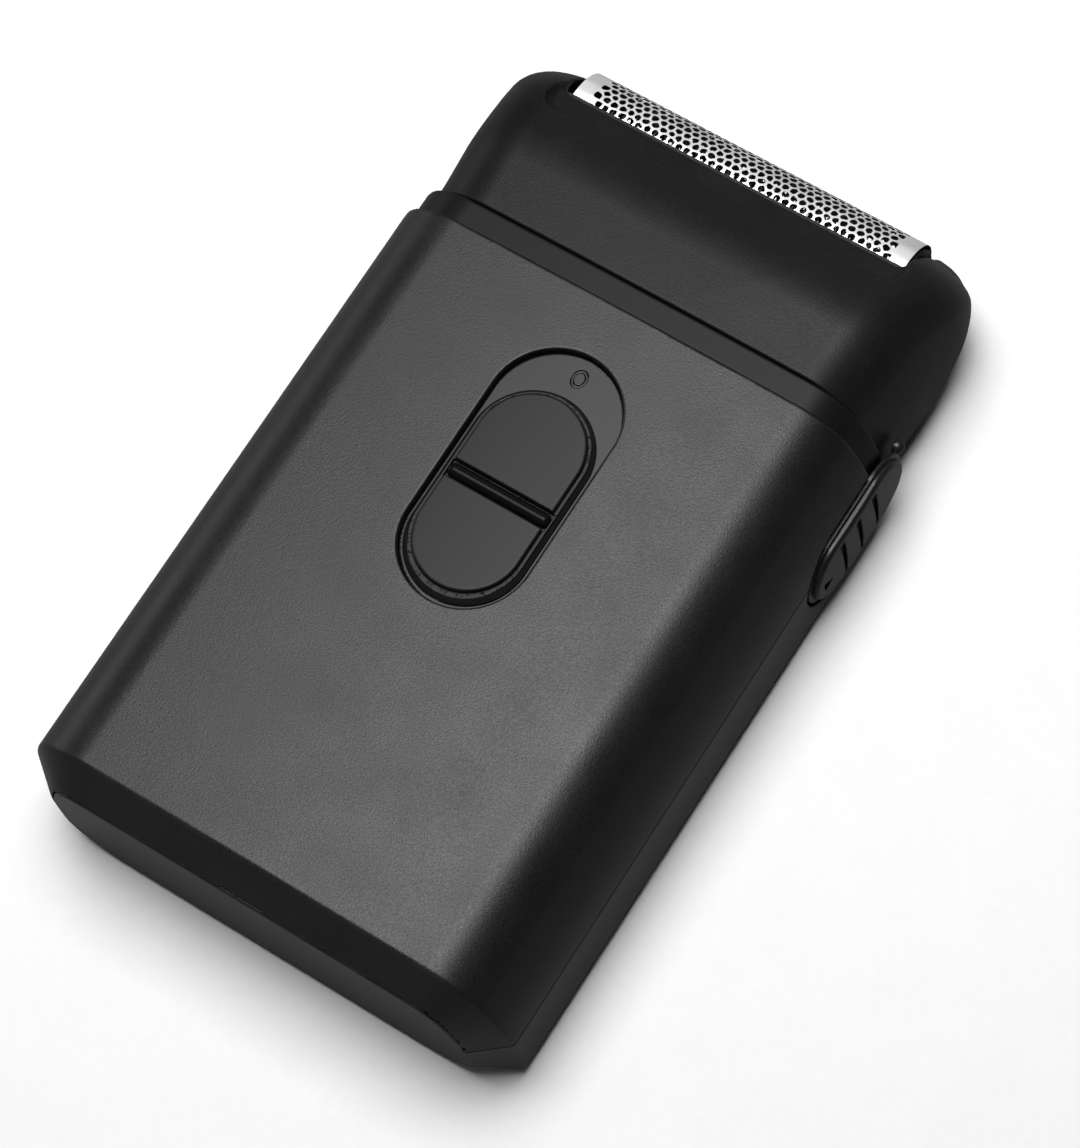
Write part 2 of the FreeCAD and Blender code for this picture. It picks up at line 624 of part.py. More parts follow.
def build_bridge():
    """Bridge on two thin legs, driven sideways by the eccentric's pin."""
    deck = block("deck", (-D.deck_half, D.deck_low, D.deck_z0), (D.deck_half, D.deck_high, D.deck_z1))
    cheeks = [block(f"cheek{i}", (a, D.fork_low, 8.6), (b, D.deck_low + 0.1, 13.4))
              for i, (a, b) in enumerate(((D.fork_in, D.fork_out), (-D.fork_out, -D.fork_in)))]
    posts = [rod(f"deck_post{i}", D.post_thin, (side * D.post_x, D.deck_high - 0.1, D.foil_z),
                 D.post_top - D.deck_high + 0.1) for i, side in enumerate((-1, 1))]
    tail = block("deck_tail", (-1.0, D.deck_high - 0.1, 6.8), (1.0, 39.2, 9.5))
    peg = rod("deck_peg", 0.7, (0, 38.3, 4.9), 2.2, "Z")
    keep("drive_bridge", join("bridge_form", deck, *cheeks, *posts, tail, peg))

    inner = D.leg_x
    legs = [block(f"leg{i}", (a, D.foot_high, 8.6), (b, D.deck_low, 13.4))
            for i, (a, b) in enumerate(((inner, inner + D.leg_thick), (-inner - D.leg_thick, -inner)))]
    keep("bridge_legs", join("legs_form", *legs))

    feet, bores, screws = [], [], []
    for i, side in enumerate((-1, 1)):
        x0, x1 = (11.6, 16.4) if side > 0 else (-16.4, -11.6)
        feet.append(block(f"foot{i}", (x0, D.neck_floor, 8.2), (x1, D.foot_high, 17.4)))
        x = side * foot_screw_x
        bores.append(rod(f"foot_bore{i}", 0.9, (x, D.neck_floor - 1, foot_z), 4.0))
        screws.append(rod(f"foot_screw{i}", 0.78, (x, D.neck_low + 0.2, foot_z), D.foot_high - D.neck_low))
        screws.append(rod(f"foot_screw_head{i}", 1.4, (x, D.foot_high, foot_z), 1.0))
    keep("bridge_feet", carve("feet_form", join("feet_solid", *feet), *bores))
    keep("bridge_screws", join("foot_screws_form", *screws))


# ---------------------------------------------------------------- foil head

def horn_plan():
    """The head seen from the front: upright flanks that curve in to two rounded horns."""
    side_centre = D.head_half - D.flank_r
    horn_y = D.head_top - D.horn_r
    span = D.flank_r - D.horn_r
    rise = horn_y - D.flank_y
    run = math.sqrt(span.number ** 2 - rise.number ** 2)
    horn_x = side_centre + run
    meet_x = side_centre + run / span.number * D.flank_r
    meet_y = D.flank_y + rise / span * D.flank_r
    return [
        (-D.head_half, D.head_low), (D.head_half, D.head_low),
        (D.head_half, D.flank_y, D.flank_r), (meet_x, meet_y, D.horn_r),
        (horn_x, D.head_top), (-horn_x, D.head_top, D.horn_r),
        (-meet_x, meet_y, D.flank_r), (-D.head_half, D.flank_y),
    ]


def horn_profile(inset):
    """The head seen from the side: flat back, domed top and a front that leans in."""
    low = D.head_low - 2
    back, front = D.head_back + inset, D.head_front + 0.5 - inset
    top = D.head_top - inset
    return [
        (low, back), (D.trim_high, back, 7.5), (top, back + 6.4, 3.5), (top - 1.1, back + 9.7, 18.0),
        (top - 7.4, front - 4.7, 21.0), (top - 17.4, front - 0.4), (low, front - 0.1),
    ]


def build_head_cover():
    """Cover of the foil head with its two horns, the lip and the mouth for the foil."""
    skin = prism("head_skin", "XZ", head_ring(Size.of(0), D.head_back), D.head_low, D.head_top + 1)
    plan = prism("head_plan", "XY", horn_plan(), 0.0, 30.0)
    side = prism("head_side", "YZ", horn_profile(Size.of(0)), -32.0, 32.0)
    outer = meet("head_outer", skin, plan, side)
    channel_outline = [
        (D.ledge_y, D.head_front + 2), (D.ledge_y, D.head_front - 1.0),
        (D.ledge_y + 1.1, D.head_front - 3.2), (D.lip_y - 0.4, D.lip_z), (D.foil_y - 0.2, D.lip_z - 0.5),
        (D.foil_y - 0.2, 0.0), (D.head_top + 2, 0.0), (D.head_top + 2, D.head_front + 2),
    ]
    channel = prism("head_channel", "YZ", channel_outline, -D.horn_in, D.horn_in)
    room = D.head_wall
    inner = meet("head_room",
                 prism("head_room_ring", "XZ", head_ring(room, D.head_back + room),
                       D.head_low - 1, D.ledge_y + 0.2),
                 prism("head_room_side", "YZ", horn_profile(room), -32.0, 32.0))
    mouth = block("head_mouth", (-D.horn_in, D.ledge_y - 1, D.foil_z - D.mouth_half),
                  (D.horn_in, D.head_top + 2, D.foil_z + D.mouth_half))
    window = block("head_window", (-4.6, D.head_low - 1, D.head_back - 1),
                   (4.6, 41.0, D.head_back + room + 1))
    shaped = carve("head_carved", outer, channel, inner, mouth, window)
    keep("head_cover", shaped)


def arch(radius, foot):
    """A round-topped outline in Y and Z that ends in straight legs at the foot."""
    radius = Size.of(radius)
    return [
        (foot, D.foil_z - radius), (D.foil_y, D.foil_z - radius, radius),
        (D.foil_y + radius, D.foil_z, radius), (D.foil_y, D.foil_z + radius), (foot, D.foil_z + radius),
    ]


def build_foil():
    """Arched foil and the frame that carries it in the head."""
    shell = prism("foil_outer", "YZ", arch(D.foil_r, D.foil_foot), -D.foil_half, D.foil_half)
    hollow = prism("foil_inner", "YZ", arch(D.foil_r - D.foil_thick, D.foil_foot - 1),
                   -D.foil_half - 1, D.foil_half + 1)
    keep("foil", carve("foil_form", shell, hollow))

    ring = block("frame_ring", (-D.frame_half, D.frame_low, D.foil_z - D.frame_out),
                 (D.frame_half, D.frame_high, D.foil_z + D.frame_out))
    ends = prism("frame_ends", "YZ", arch(D.foil_r - 0.5, D.frame_high - 0.2), -D.frame_half, D.frame_half)
    room = block("frame_room", (-D.foil_half + 0.55, D.frame_low - 1, D.foil_z - D.foil_r - 0.02),
                 (D.foil_half - 0.55, D.head_top, D.foil_z + D.foil_r + 0.02))
    groove = prism("frame_groove", "YZ", arch(D.foil_r + 0.02, D.foil_foot - 0.02),
                   -D.foil_half - 0.02, D.foil_half + 0.02)
    core = prism("frame_core", "YZ", arch(D.foil_r - D.foil_thick - 0.02, D.foil_foot - 1.5),
                 -D.frame_half, D.frame_half)
    cap_room = block("frame_cap_room", (-D.foil_half + 0.55, D.frame_low - 1, 0),
                     (D.foil_half - 0.55, D.head_top, 30))
    seat = carve("frame_seat", groove, core)
    solid = join("frame_solid", ring, ends)
    keep("foil_frame", carve("frame_form", solid, room, seat,
                             meet("frame_inside", core, cap_room)))


def spring(name, x):
    """A cutter spring: four rings of wire, each joined to the next on alternate sides."""
    pieces = []
    for turn in range(4):
        y = D.deck_high + D.wire_r + 0.05 + D.coil_pitch * turn
        ring = doc.addObject("Part::Torus", f"{name}_ring{turn}")
        bind(ring, "Radius1", D.coil_r)
        bind(ring, "Radius2", D.wire_r)
        place(ring, x, y, D.foil_z, TURNS["Y"])
        pieces.append(ring)
        if turn < 3:
            z = D.foil_z + D.coil_r * (1 if turn % 2 else -1)
            pieces.append(rod(f"{name}_link{turn}", D.wire_r * 0.9, (x, y, z), D.coil_pitch))
    return join(name, *pieces)


def build_cutter():
    """Cutter block with its row of arched blades, and the springs that press it up."""
    body = block("block_body", (-D.block_half, D.block_low, D.foil_z - D.block_out),
                 (D.block_half, D.block_high, D.foil_z + D.block_out))
    bores = [rod(f"block_bore{i}", D.post_thin + D.post_fit,
                 (side * D.post_x, D.block_low - 1, D.foil_z), 4.0)
             for i, side in enumerate((-1, 1))]
    keep("cutter_block", carve("block_form", body, *bores))

    count = int(D.blade_count.number)
    pitch, thick = D.blade_pitch.number, D.blade_thick.number
    centre = Vector(0, D.foil_y.number, D.foil_z.number)
    high = D.block_high.number
    blades = []
    for i in range(count):
        x = (i - (count - 1) / 2) * pitch - thick / 2
        rim, eye = D.blade_r.number, D.blade_in.number
        disc = Part.makeCylinder(rim, thick, centre + Vector(x, 0, 0), Vector(1, 0, 0))
        legs = Part.makeBox(thick, centre.y - high, rim * 2, Vector(x, high, centre.z - rim))
        blade = disc.fuse(legs)
        hole = Part.makeCylinder(eye, thick + 2, centre + Vector(x - 1, 0, 0), Vector(1, 0, 0))
        below = Part.makeBox(thick + 2, centre.y - high - 1.2, eye * 2,
                             Vector(x - 1, high + 1.2, centre.z - eye))
        foot = Part.makeBox(thick + 2, rim, rim * 2, Vector(x - 1, high - rim, centre.z - rim))
        blades.append(blade.cut(hole.fuse(below).fuse(foot)).removeSplitter())
    row_of_blades = doc.addObject("Part::Feature", "blades_form")
    row_of_blades.Shape = Part.makeCompound(blades)
    keep("cutter_blades", row_of_blades)

    keep("cutter_springs", join("springs_form", spring("spring_left", -D.post_x),
                                spring("spring_right", D.post_x)))


# ---------------------------------------------------------------- trimmer

def build_trimmer():
    """Pop-up trimmer: rear carrier, side knob, comb, moving blade and its lever."""
    corner = 4.0
    half = D.trim_half
    plate_outline = [
        (-half, D.trim_low), (half, D.trim_low), (half, D.trim_high - corner - 3),
        (half - 1.2, D.trim_high - corner, corner), (half - 1.2 - corner, D.trim_high),
        (-half + 1.2 + corner, D.trim_high, corner), (-half + 1.2, D.trim_high - corner),
        (-half, D.trim_high - corner - 3),
    ]
    plate = prism("trim_plate", "XY", plate_outline, D.trim_back, D.trim_front)
    tongue = block("trim_tongue", (-D.tongue_half, D.tongue_low, D.tongue_z0),
                   (D.tongue_half, D.trim_low + 1, D.tongue_z1))
    arm = block("trim_arm", (D.tongue_half - 1, D.arm_low, D.tongue_z0),
                (D.arm_in + 0.7, D.arm_high, D.tongue_z1))
    upright = block("trim_upright", (D.arm_in, D.arm_low, D.tongue_z0 + 0.8),
                    (D.arm_out, D.arm_high, 11.0))
    bridge = block("trim_bridge", (D.arm_in, D.arm_low, 7.6), (D.knob_in, D.arm_high, 11.0))
    pocket = block("trim_pocket", (-16.0, 41.6, D.comb_z0), (16.0, D.trim_high + 1, D.trim_front + 1))
    lane = block("trim_lane", (-5.2, 27.5, D.comb_z0), (5.2, 42.0, D.trim_front + 1))
    keep("trimmer_carrier", carve("carrier_form", join("carrier_solid", plate, tongue, arm, upright,
                                                       bridge), pocket, lane))

    def grip(half_z, low, high):
        start, end = Size.of(low) + half_z, Size.of(high) - half_z
        return [
            (start, D.knob_z - half_z), (end, D.knob_z - half_z, half_z),
            (high, D.knob_z, half_z), (end, D.knob_z + half_z),
            (start, D.knob_z + half_z, half_z), (low, D.knob_z, half_z),
        ]

    flange = prism("knob_flange", "YZ", grip(D.knob_half + D.flange, D.knob_low - D.flange,
                                             D.knob_high + D.flange), D.knob_in, D.knob_step)
    face = prism("knob_face", "YZ", grip(D.knob_half, D.knob_low, D.knob_high),
                 D.knob_step - 0.1, D.knob_out)
    nub = rod("knob_nub", 0.9, (D.knob_in - 0.2, D.knob_high + 0.4, D.knob_z + 2.6), 0.75, "X")
    notches = []
    for i in range(3):
        y = 15.9 + i * 4.3
        notch = [(y, D.knob_z - 2.2), (y + 1.1, D.knob_z - 3.4), (y + 1.6, D.knob_z - 3.0),
                 (y + 0.9, D.knob_z + 3.4), (y, D.knob_z + 3.0)]
        notches.append(prism(f"knob_notch{i}", "YZ", notch, D.knob_out - 0.45, D.knob_out + 1))
    keep("trimmer_knob", carve("knob_form", join("knob_solid", flange, face, nub), *notches))

    def toothed(name, half_x, low, high, z0, z1, notch=None):
        plain = block(f"{name}_plate", (-half_x, low, z0), (half_x, high, z1))
        count = int((2 * Size.of(half_x).number) / D.tooth_pitch.number)
        gaps = []
        for i in range(count - 1):
            x = (i - (count - 2) / 2) * D.tooth_pitch
            gaps.append(block(f"{name}_gap{i}", (x - D.tooth_gap / 2, high - D.tooth_deep, z0 - 1),
                              (x + D.tooth_gap / 2, high + 1, z1 + 1)))
        return carve(f"{name}_form", plain, *gaps, *([notch] if notch else []))

    keep("trimmer_comb", toothed("comb", D.comb_half, D.comb_low, D.comb_high, D.comb_z0, D.comb_z1))
    tip_y = D.lever_y + D.lever_arm
    notch = block("mover_notch", (-1.9, D.mover_low - 1, D.mover_z0 - 1), (1.9, tip_y + 0.9, D.mover_z1 + 1))
    keep("trimmer_blade", toothed("mover", D.mover_half, D.mover_low, D.mover_high, D.mover_z0,
                                  D.mover_z1, notch))
    keep("trimmer_guides", join("guides_form", *[
        block(f"guide{i}", (a, 42.0, D.mover_z1 + 0.06), (b, 45.2, 4.3))
        for i, (a, b) in enumerate(((-15.6, -6.0), (6.0, 15.6)))] + [
        block(f"guide_leg{i}", (a, 42.0, D.comb_z0), (b, 42.9, 4.3))
        for i, (a, b) in enumerate(((-15.6, -6.0), (6.0, 15.6)))]))

    z0, z1 = D.mover_z0, D.mover_z1 + 0.2
    bar = block("lever_bar", (-D.lever_half, D.lever_y - D.lever_arm, z0),
                (D.lever_half, tip_y - 1.2, z1))
    tip = rod("lever_tip", 0.7, (0, tip_y - 0.6, z0), z1 - z0, "Z")
    stem = block("lever_tip_stem", (-0.5, tip_y - 1.5, z0), (0.5, tip_y - 0.6, z1))
    yoke = block("lever_yoke", (-3.7, D.lever_y - D.lever_arm, z0), (3.7, D.lever_y - D.lever_arm + 1.2, z1))
    prongs = [block(f"lever_prong{i}", (a, 29.0, z0), (b, D.lever_y - D.lever_arm + 1.2, 5.6))
              for i, (a, b) in enumerate(((-3.7, -2.7), (2.7, 3.7)))]
    hole = rod("lever_hole", D.lever_pin + 0.05, (0, D.lever_y, z0 - 1), 4.0, "Z")
    keep("trimmer_lever", carve("trim_lever_form", join("lever_solid", bar, tip, stem, yoke, *prongs), hole))
    keep("lever_pivot", rod("pivot_form", D.lever_pin, (0, D.lever_y, D.comb_z0), 2.0, "Z"))


# ---------------------------------------------------------------- document

def check_and_export():
    """Recomputes, refuses any failed object and writes every sub-part."""
    doc.recompute()
    for thing in doc.Objects:
        bad = [state for state in thing.State if state in ("Invalid", "Error")]
        if bad:
            raise RuntimeError(f"{thing.Name} failed: {bad}")
    os.makedirs("parts", exist_ok=True)
    for piece in finished:
        shape = piece.Shape
        if shape.isNull() or not shape.isValid() or not shape.Solids:
            raise RuntimeError(f"{piece.Label} has no valid solid")
        shape.exportStep(os.path.join("parts", f"{piece.Label}.step"))
        print(f"{piece.Label}: {len(shape.Solids)} solid(s), {shape.Volume:.1f} mm3")


build_back_shell()
build_front_shell()
build_screws()
build_switch()
build_board()
build_cell()
build_motor()
build_rotor()
build_neck()
build_bridge()
build_head_cover()
build_foil()
build_cutter()
build_trimmer()
check_and_export()
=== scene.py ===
"""Foil shaver: sculpted casing, head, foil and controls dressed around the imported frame.

Lengths in this file are millimetres in the part's own frame: +X across the casing towards the
trimmer slider, +Y from the heel to the foil, +Z out of the front face. They turn into metres
when a mesh is made.
"""
import json
import logging
import math
from dataclasses import dataclass, field
from enum import Enum
from typing import Callable, Iterable, Sequence

import bpy
import numpy as np
from mathutils import Euler, Matrix, Vector
from mathutils.geometry import delaunay_2d_cdt


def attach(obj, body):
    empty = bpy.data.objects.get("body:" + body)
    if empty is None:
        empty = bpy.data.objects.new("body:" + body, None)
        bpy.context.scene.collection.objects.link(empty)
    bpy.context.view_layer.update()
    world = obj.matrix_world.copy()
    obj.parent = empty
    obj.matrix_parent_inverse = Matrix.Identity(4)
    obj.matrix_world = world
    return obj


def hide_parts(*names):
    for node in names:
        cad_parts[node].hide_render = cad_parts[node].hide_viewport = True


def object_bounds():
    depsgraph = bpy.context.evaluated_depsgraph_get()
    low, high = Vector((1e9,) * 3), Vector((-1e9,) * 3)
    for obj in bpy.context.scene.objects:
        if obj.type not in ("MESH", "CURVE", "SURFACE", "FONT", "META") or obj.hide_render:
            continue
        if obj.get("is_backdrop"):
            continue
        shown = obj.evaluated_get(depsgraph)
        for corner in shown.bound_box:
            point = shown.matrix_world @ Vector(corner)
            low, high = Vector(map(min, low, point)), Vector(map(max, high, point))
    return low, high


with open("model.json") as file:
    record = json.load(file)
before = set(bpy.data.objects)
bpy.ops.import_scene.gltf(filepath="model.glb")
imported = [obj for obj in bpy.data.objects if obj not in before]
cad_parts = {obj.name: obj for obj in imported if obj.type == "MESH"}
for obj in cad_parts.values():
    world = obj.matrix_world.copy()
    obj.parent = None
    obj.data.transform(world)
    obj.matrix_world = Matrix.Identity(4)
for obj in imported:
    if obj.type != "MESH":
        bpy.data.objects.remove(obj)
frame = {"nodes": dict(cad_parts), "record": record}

logging.basicConfig(level=logging.INFO, format="%(message)s")
log = logging.getLogger("shaver")

MM = 0.001
Array = np.ndarray
Field = Callable[[Array, Array, Array], Array]

BRUSH_STRETCH = 14.0  # a brushed grain's length over its width
MOTTLE_MM = 7.0  # size of the slow wandering of colour and gloss
BUMP_MM = 0.03  # height of the fine grain
LEAST_RISE = 0.02  # keeps a lowered shoulder just above the waist
LEAST_RADIUS = 0.8  # tightest shoulder under a lowered front
WELD_MM = 0.002  # points of a kept node closer than this become one
BREAK_MM = 0.12  # broken edge of a kept node
NEARLY_FLAT = 5000.0  # crown radius of a front with no crown left


# ------------------------------------------------------------------ finishes

class Grain(Enum):
    """How the fine surface of a finish is made."""

    MOULDED = "moulded"
    BRUSHED = "brushed"
    SMOOTH = "smooth"


@dataclass(frozen=True)
class Finish:
    """A procedural finish with its own colour, gloss and fine texture.

    Attributes:
        name: The material's name.
        color: Linear base colour.
        rough: Mean roughness.
        metal: Metallic share.
        grain: Kind of fine texture.
        grain_mm: Size of one grain.
        depth: Strength of the grain's bump, from 0 to 1.
        mottle: Share by which colour and roughness wander over the surface.
        shine: Strength of the plain reflection, 0.5 being ordinary plastic.
        flecks: Share by which the roughness changes from grain to grain.
    """

    name: str
    color: tuple[float, float, float]
    rough: float
    metal: float = 0.0
    grain: Grain = Grain.MOULDED
    grain_mm: float = 0.18
    depth: float = 0.2
    mottle: float = 0.12
    shine: float = 0.5
    flecks: float = 0.06

    def material(self) -> bpy.types.Material:
        """Gives the finish's material, made on first use.

        Returns:
            The node material.
        """
        found = bpy.data.materials.get(self.name)
        if found:
            return found
        made = bpy.data.materials.new(self.name)
        made.use_nodes = True
        self._wire(made.node_tree)
        made.diffuse_color = (*self.color, 1.0)
        return made

    def _wire(self, tree: bpy.types.NodeTree) -> None:
        """Builds the shader nodes.

        Args:
            tree: The new material's node tree.
        """
        nodes, links = tree.nodes, tree.links
        shader = nodes["Principled BSDF"]
        shader.inputs["Metallic"].default_value = self.metal
        shader.inputs["Specular IOR Level"].default_value = self.shine
        place = nodes.new("ShaderNodeTexCoord")
        stretch = nodes.new("ShaderNodeMapping")
        across = BRUSH_STRETCH if self.grain is Grain.BRUSHED else 1.0
        stretch.inputs["Scale"].default_value = (1.0, across, across)
        links.new(place.outputs["Object"], stretch.inputs["Vector"])

        fine = nodes.new("ShaderNodeTexNoise")
        fine.inputs["Scale"].default_value = 1.0 / (self.grain_mm * MM) / across
        fine.inputs["Detail"].default_value = 3.0
        fine.inputs["Roughness"].default_value = 0.6
        links.new(stretch.outputs["Vector"], fine.inputs["Vector"])

        broad = nodes.new("ShaderNodeTexNoise")
        broad.inputs["Scale"].default_value = 1.0 / (MOTTLE_MM * MM)
        broad.inputs["Detail"].default_value = 4.0
        links.new(place.outputs["Object"], broad.inputs["Vector"])

        tint = nodes.new("ShaderNodeValToRGB")
        low, high = 1.0 - self.mottle, 1.0 + self.mottle
        for stop, share, at in zip(tint.color_ramp.elements, (low, high), (0.3, 0.7)):
            stop.position = at
            stop.color = (*(min(c * share, 1.0) for c in self.color), 1.0)
        links.new(broad.outputs["Fac"], tint.inputs["Fac"])

        speck = nodes.new("ShaderNodeMix")
        speck.data_type = "RGBA"
        speck.blend_type = "OVERLAY"
        speck.inputs["Factor"].default_value = min(self.depth, 0.5)
        links.new(tint.outputs["Color"], speck.inputs["A"])
        links.new(fine.outputs["Fac"], speck.inputs["B"])
        links.new(speck.outputs["Result"], shader.inputs["Base Color"])

        gloss = nodes.new("ShaderNodeMapRange")
        gloss.inputs["To Min"].default_value = self.rough * (1.0 - self.flecks)
        gloss.inputs["To Max"].default_value = min(self.rough * (1.0 + self.flecks), 1.0)
        blend = nodes.new("ShaderNodeMix")
        blend.inputs["Factor"].default_value = 0.3 if self.grain is Grain.SMOOTH else 0.7
        links.new(broad.outputs["Fac"], blend.inputs["A"])
        links.new(fine.outputs["Fac"], blend.inputs["B"])
        gloss.inputs["From Min"].default_value = 0.25
        gloss.inputs["From Max"].default_value = 0.75
        links.new(blend.outputs["Result"], gloss.inputs["Value"])
        links.new(gloss.outputs["Result"], shader.inputs["Roughness"])

        bump = nodes.new("ShaderNodeBump")
        bump.inputs["Strength"].default_value = self.depth
        bump.inputs["Distance"].default_value = BUMP_MM * MM
        links.new(fine.outputs["Fac"], bump.inputs["Height"])
        links.new(bump.outputs["Normal"], shader.inputs["Normal"])


FRONT_SATIN = Finish("front_satin_black", (0.0055, 0.0057, 0.0062), 0.40, grain_mm=0.22,
                     depth=0.9, shine=0.25, flecks=0.3)
BACK_SATIN = Finish("back_smooth_black", (0.008, 0.008, 0.0085), 0.34, grain_mm=0.3, depth=0.12,
                    mottle=0.06, shine=0.3)
HEAD_SATIN = Finish("head_satin_black", (0.0052, 0.0054, 0.0058), 0.42, grain_mm=0.22, depth=0.8,
                    shine=0.125, flecks=0.3)
COLLAR_SATIN = Finish("collar_black", (0.005, 0.005, 0.0055), 0.40, grain_mm=0.3, depth=0.15,
                      shine=0.09)
PAD_SATIN = Finish("switch_satin_black", (0.0060, 0.0062, 0.0065), 0.42, grain_mm=0.25,
                   depth=0.25, shine=0.13)
KNOB_SATIN = Finish("knob_satin_black", (0.006, 0.006, 0.0065), 0.36, grain_mm=0.25,
                    depth=0.25, shine=0.3)
BAR_BLACK = Finish("bar_gloss_black", (0.003, 0.003, 0.003), 0.22, grain_mm=0.4, depth=0.05,
                   mottle=0.05, shine=0.05)
GLOSS_BLACK = Finish("polished_black", (0.004, 0.004, 0.0043), 0.14, grain_mm=0.5, depth=0.02,
                     mottle=0.05, shine=0.10)
FOIL_STEEL = Finish("foil_nickel", (0.90, 0.90, 0.90), 0.40, metal=0.85, grain=Grain.BRUSHED,
                    grain_mm=0.12, depth=0.08, mottle=0.08)
# Painted shade: the foil's inner face and hole walls are near black, so the holes read dark.
FOIL_PAINTED_SHADE = Finish("foil_underside_painted_shade", (0.030, 0.030, 0.032), 0.6, metal=1.0, grain_mm=0.2,
                    depth=0.1)
BLADE_STEEL = Finish("blade_steel", (0.50, 0.51, 0.53), 0.28, metal=1.0, grain=Grain.BRUSHED,
                     grain_mm=0.1, depth=0.2)
# Painted shade: the cutter blades under the foil are near black instead of steel, so the holes read
# dark.
BLADES_PAINTED_SHADE = Finish("blades_painted_shade", (0.035, 0.035, 0.038), 0.45, metal=1.0, grain_mm=0.1,
                    depth=0.2)
SPRING_STEEL = Finish("spring_wire", (0.48, 0.49, 0.51), 0.25, metal=1.0, grain=Grain.SMOOTH,
                      grain_mm=0.2, depth=0.1)
CAN_STEEL = Finish("plated_can", (0.56, 0.57, 0.58), 0.34, metal=1.0, grain=Grain.BRUSHED,
                   grain_mm=0.25, depth=0.15)
SCREW_STEEL = Finish("dark_screw", (0.16, 0.16, 0.17), 0.32, metal=1.0, grain_mm=0.2, depth=0.2)
CELL_SLEEVE = Finish("cell_sleeve", (0.07, 0.24, 0.15), 0.38, grain_mm=0.4, depth=0.15)
NICKEL = Finish("nickel_strip", (0.66, 0.64, 0.60), 0.3, metal=1.0, grain=Grain.BRUSHED,
                grain_mm=0.2, depth=0.2)
BOARD_MASK = Finish("solder_mask", (0.02, 0.15, 0.06), 0.33, grain_mm=0.35, depth=0.2, mottle=0.25)
CHIP_BLACK = Finish("moulded_chip", (0.018, 0.018, 0.018), 0.6, grain_mm=0.12, depth=0.5)
WHITE_ACETAL = Finish("white_acetal", (0.74, 0.74, 0.71), 0.45, grain_mm=0.3, depth=0.15,
                      mottle=0.04)
BRASS = Finish("turned_brass", (0.62, 0.45, 0.19), 0.3, metal=1.0, grain=Grain.BRUSHED,
               grain_mm=0.2, depth=0.2)

SLOT_FINISHES = {
    "front_plastic": FRONT_SATIN, "back_plastic": BACK_SATIN, "head_plastic": HEAD_SATIN,
    "collar_plastic": COLLAR_SATIN, "switch_plastic": PAD_SATIN, "gloss_plastic": GLOSS_BLACK,
    "foil_steel": FOIL_STEEL, "blade_steel": BLADE_STEEL, "spring_steel": SPRING_STEEL,
    "motor_steel": CAN_STEEL, "screw_steel": SCREW_STEEL, "cell_wrap": CELL_SLEEVE,
    "nickel": NICKEL, "board_green": BOARD_MASK, "chip_black": CHIP_BLACK,
    "bridge_white": WHITE_ACETAL, "brass": BRASS,
}


# ------------------------------------------------------------------ solids as fields

def meet(a: Array, b: Array, r: float | Array = 0.0) -> Array:
    """The space two fields share, with the edge between them rounded.

    Args:
        a: First field, negative inside.
        b: Second field.
        r: Radius of the edge.

    Returns:
        The shared field.
    """
    if np.isscalar(r) and r <= 0:
        return np.maximum(a, b)
    return np.minimum(-r, np.maximum(a, b)) + np.hypot(np.maximum(a + r, 0), np.maximum(b + r, 0))


def join(a: Array, b: Array, r: float = 0.0) -> Array:
    """The space of either field, with the inner corner filled to a radius."""
    return -meet(-a, -b, r)


def carve(a: Array, b: Array, r: float = 0.0) -> Array:
    """The first field less the second, with a rounded edge."""
    return meet(a, -b, r)


def pill(u: Array, v: Array, low: float, high: float, half: float) -> Array:
    """Distance to a round-ended slot that runs along v between two centres."""
    return np.hypot(u, v - np.clip(v, low, high)) - half


def ease(t: Array) -> Array:
    """A share from 0 to 1 that starts and ends gently."""
    return t * t * (3 - 2 * t)


def panel(u: Array, v: Array, half_u: float | Array, half_v: float | Array,
          r: float | Array) -> Array:
    """Distance to a centred rectangle with round corners."""
    a, b = np.abs(u) - half_u + r, np.abs(v) - half_v + r
    return np.hypot(np.maximum(a, 0), np.maximum(b, 0)) + np.minimum(np.maximum(a, b), 0) - r


def steps(*runs: tuple[float, float, float]) -> Array:
    """Grid lines along one axis from runs of even spacing.

    Args:
        runs: Start, end and spacing of each run, in rising order.

    Returns:
        The sorted grid lines.
    """
    lines = [np.linspace(a, b, max(int(round((b - a) / gap)), 1) + 1) for a, b, gap in runs]
    joined = np.concatenate(lines)
    keep = np.concatenate([[True], np.diff(joined) > 1e-6])
    return joined[keep]


def gradient(solid: Field, points: Array) -> Array:
    """The field's slope at points, by central differences."""
    gap = 0.01
    slopes = []
    for axis in range(3):
        shift = np.zeros(3)
        shift[axis] = gap
        ahead, behind = points + shift, points - shift
        slopes.append((solid(*ahead.T) - solid(*behind.T)) / (2 * gap))
    return np.stack(slopes, axis=1)


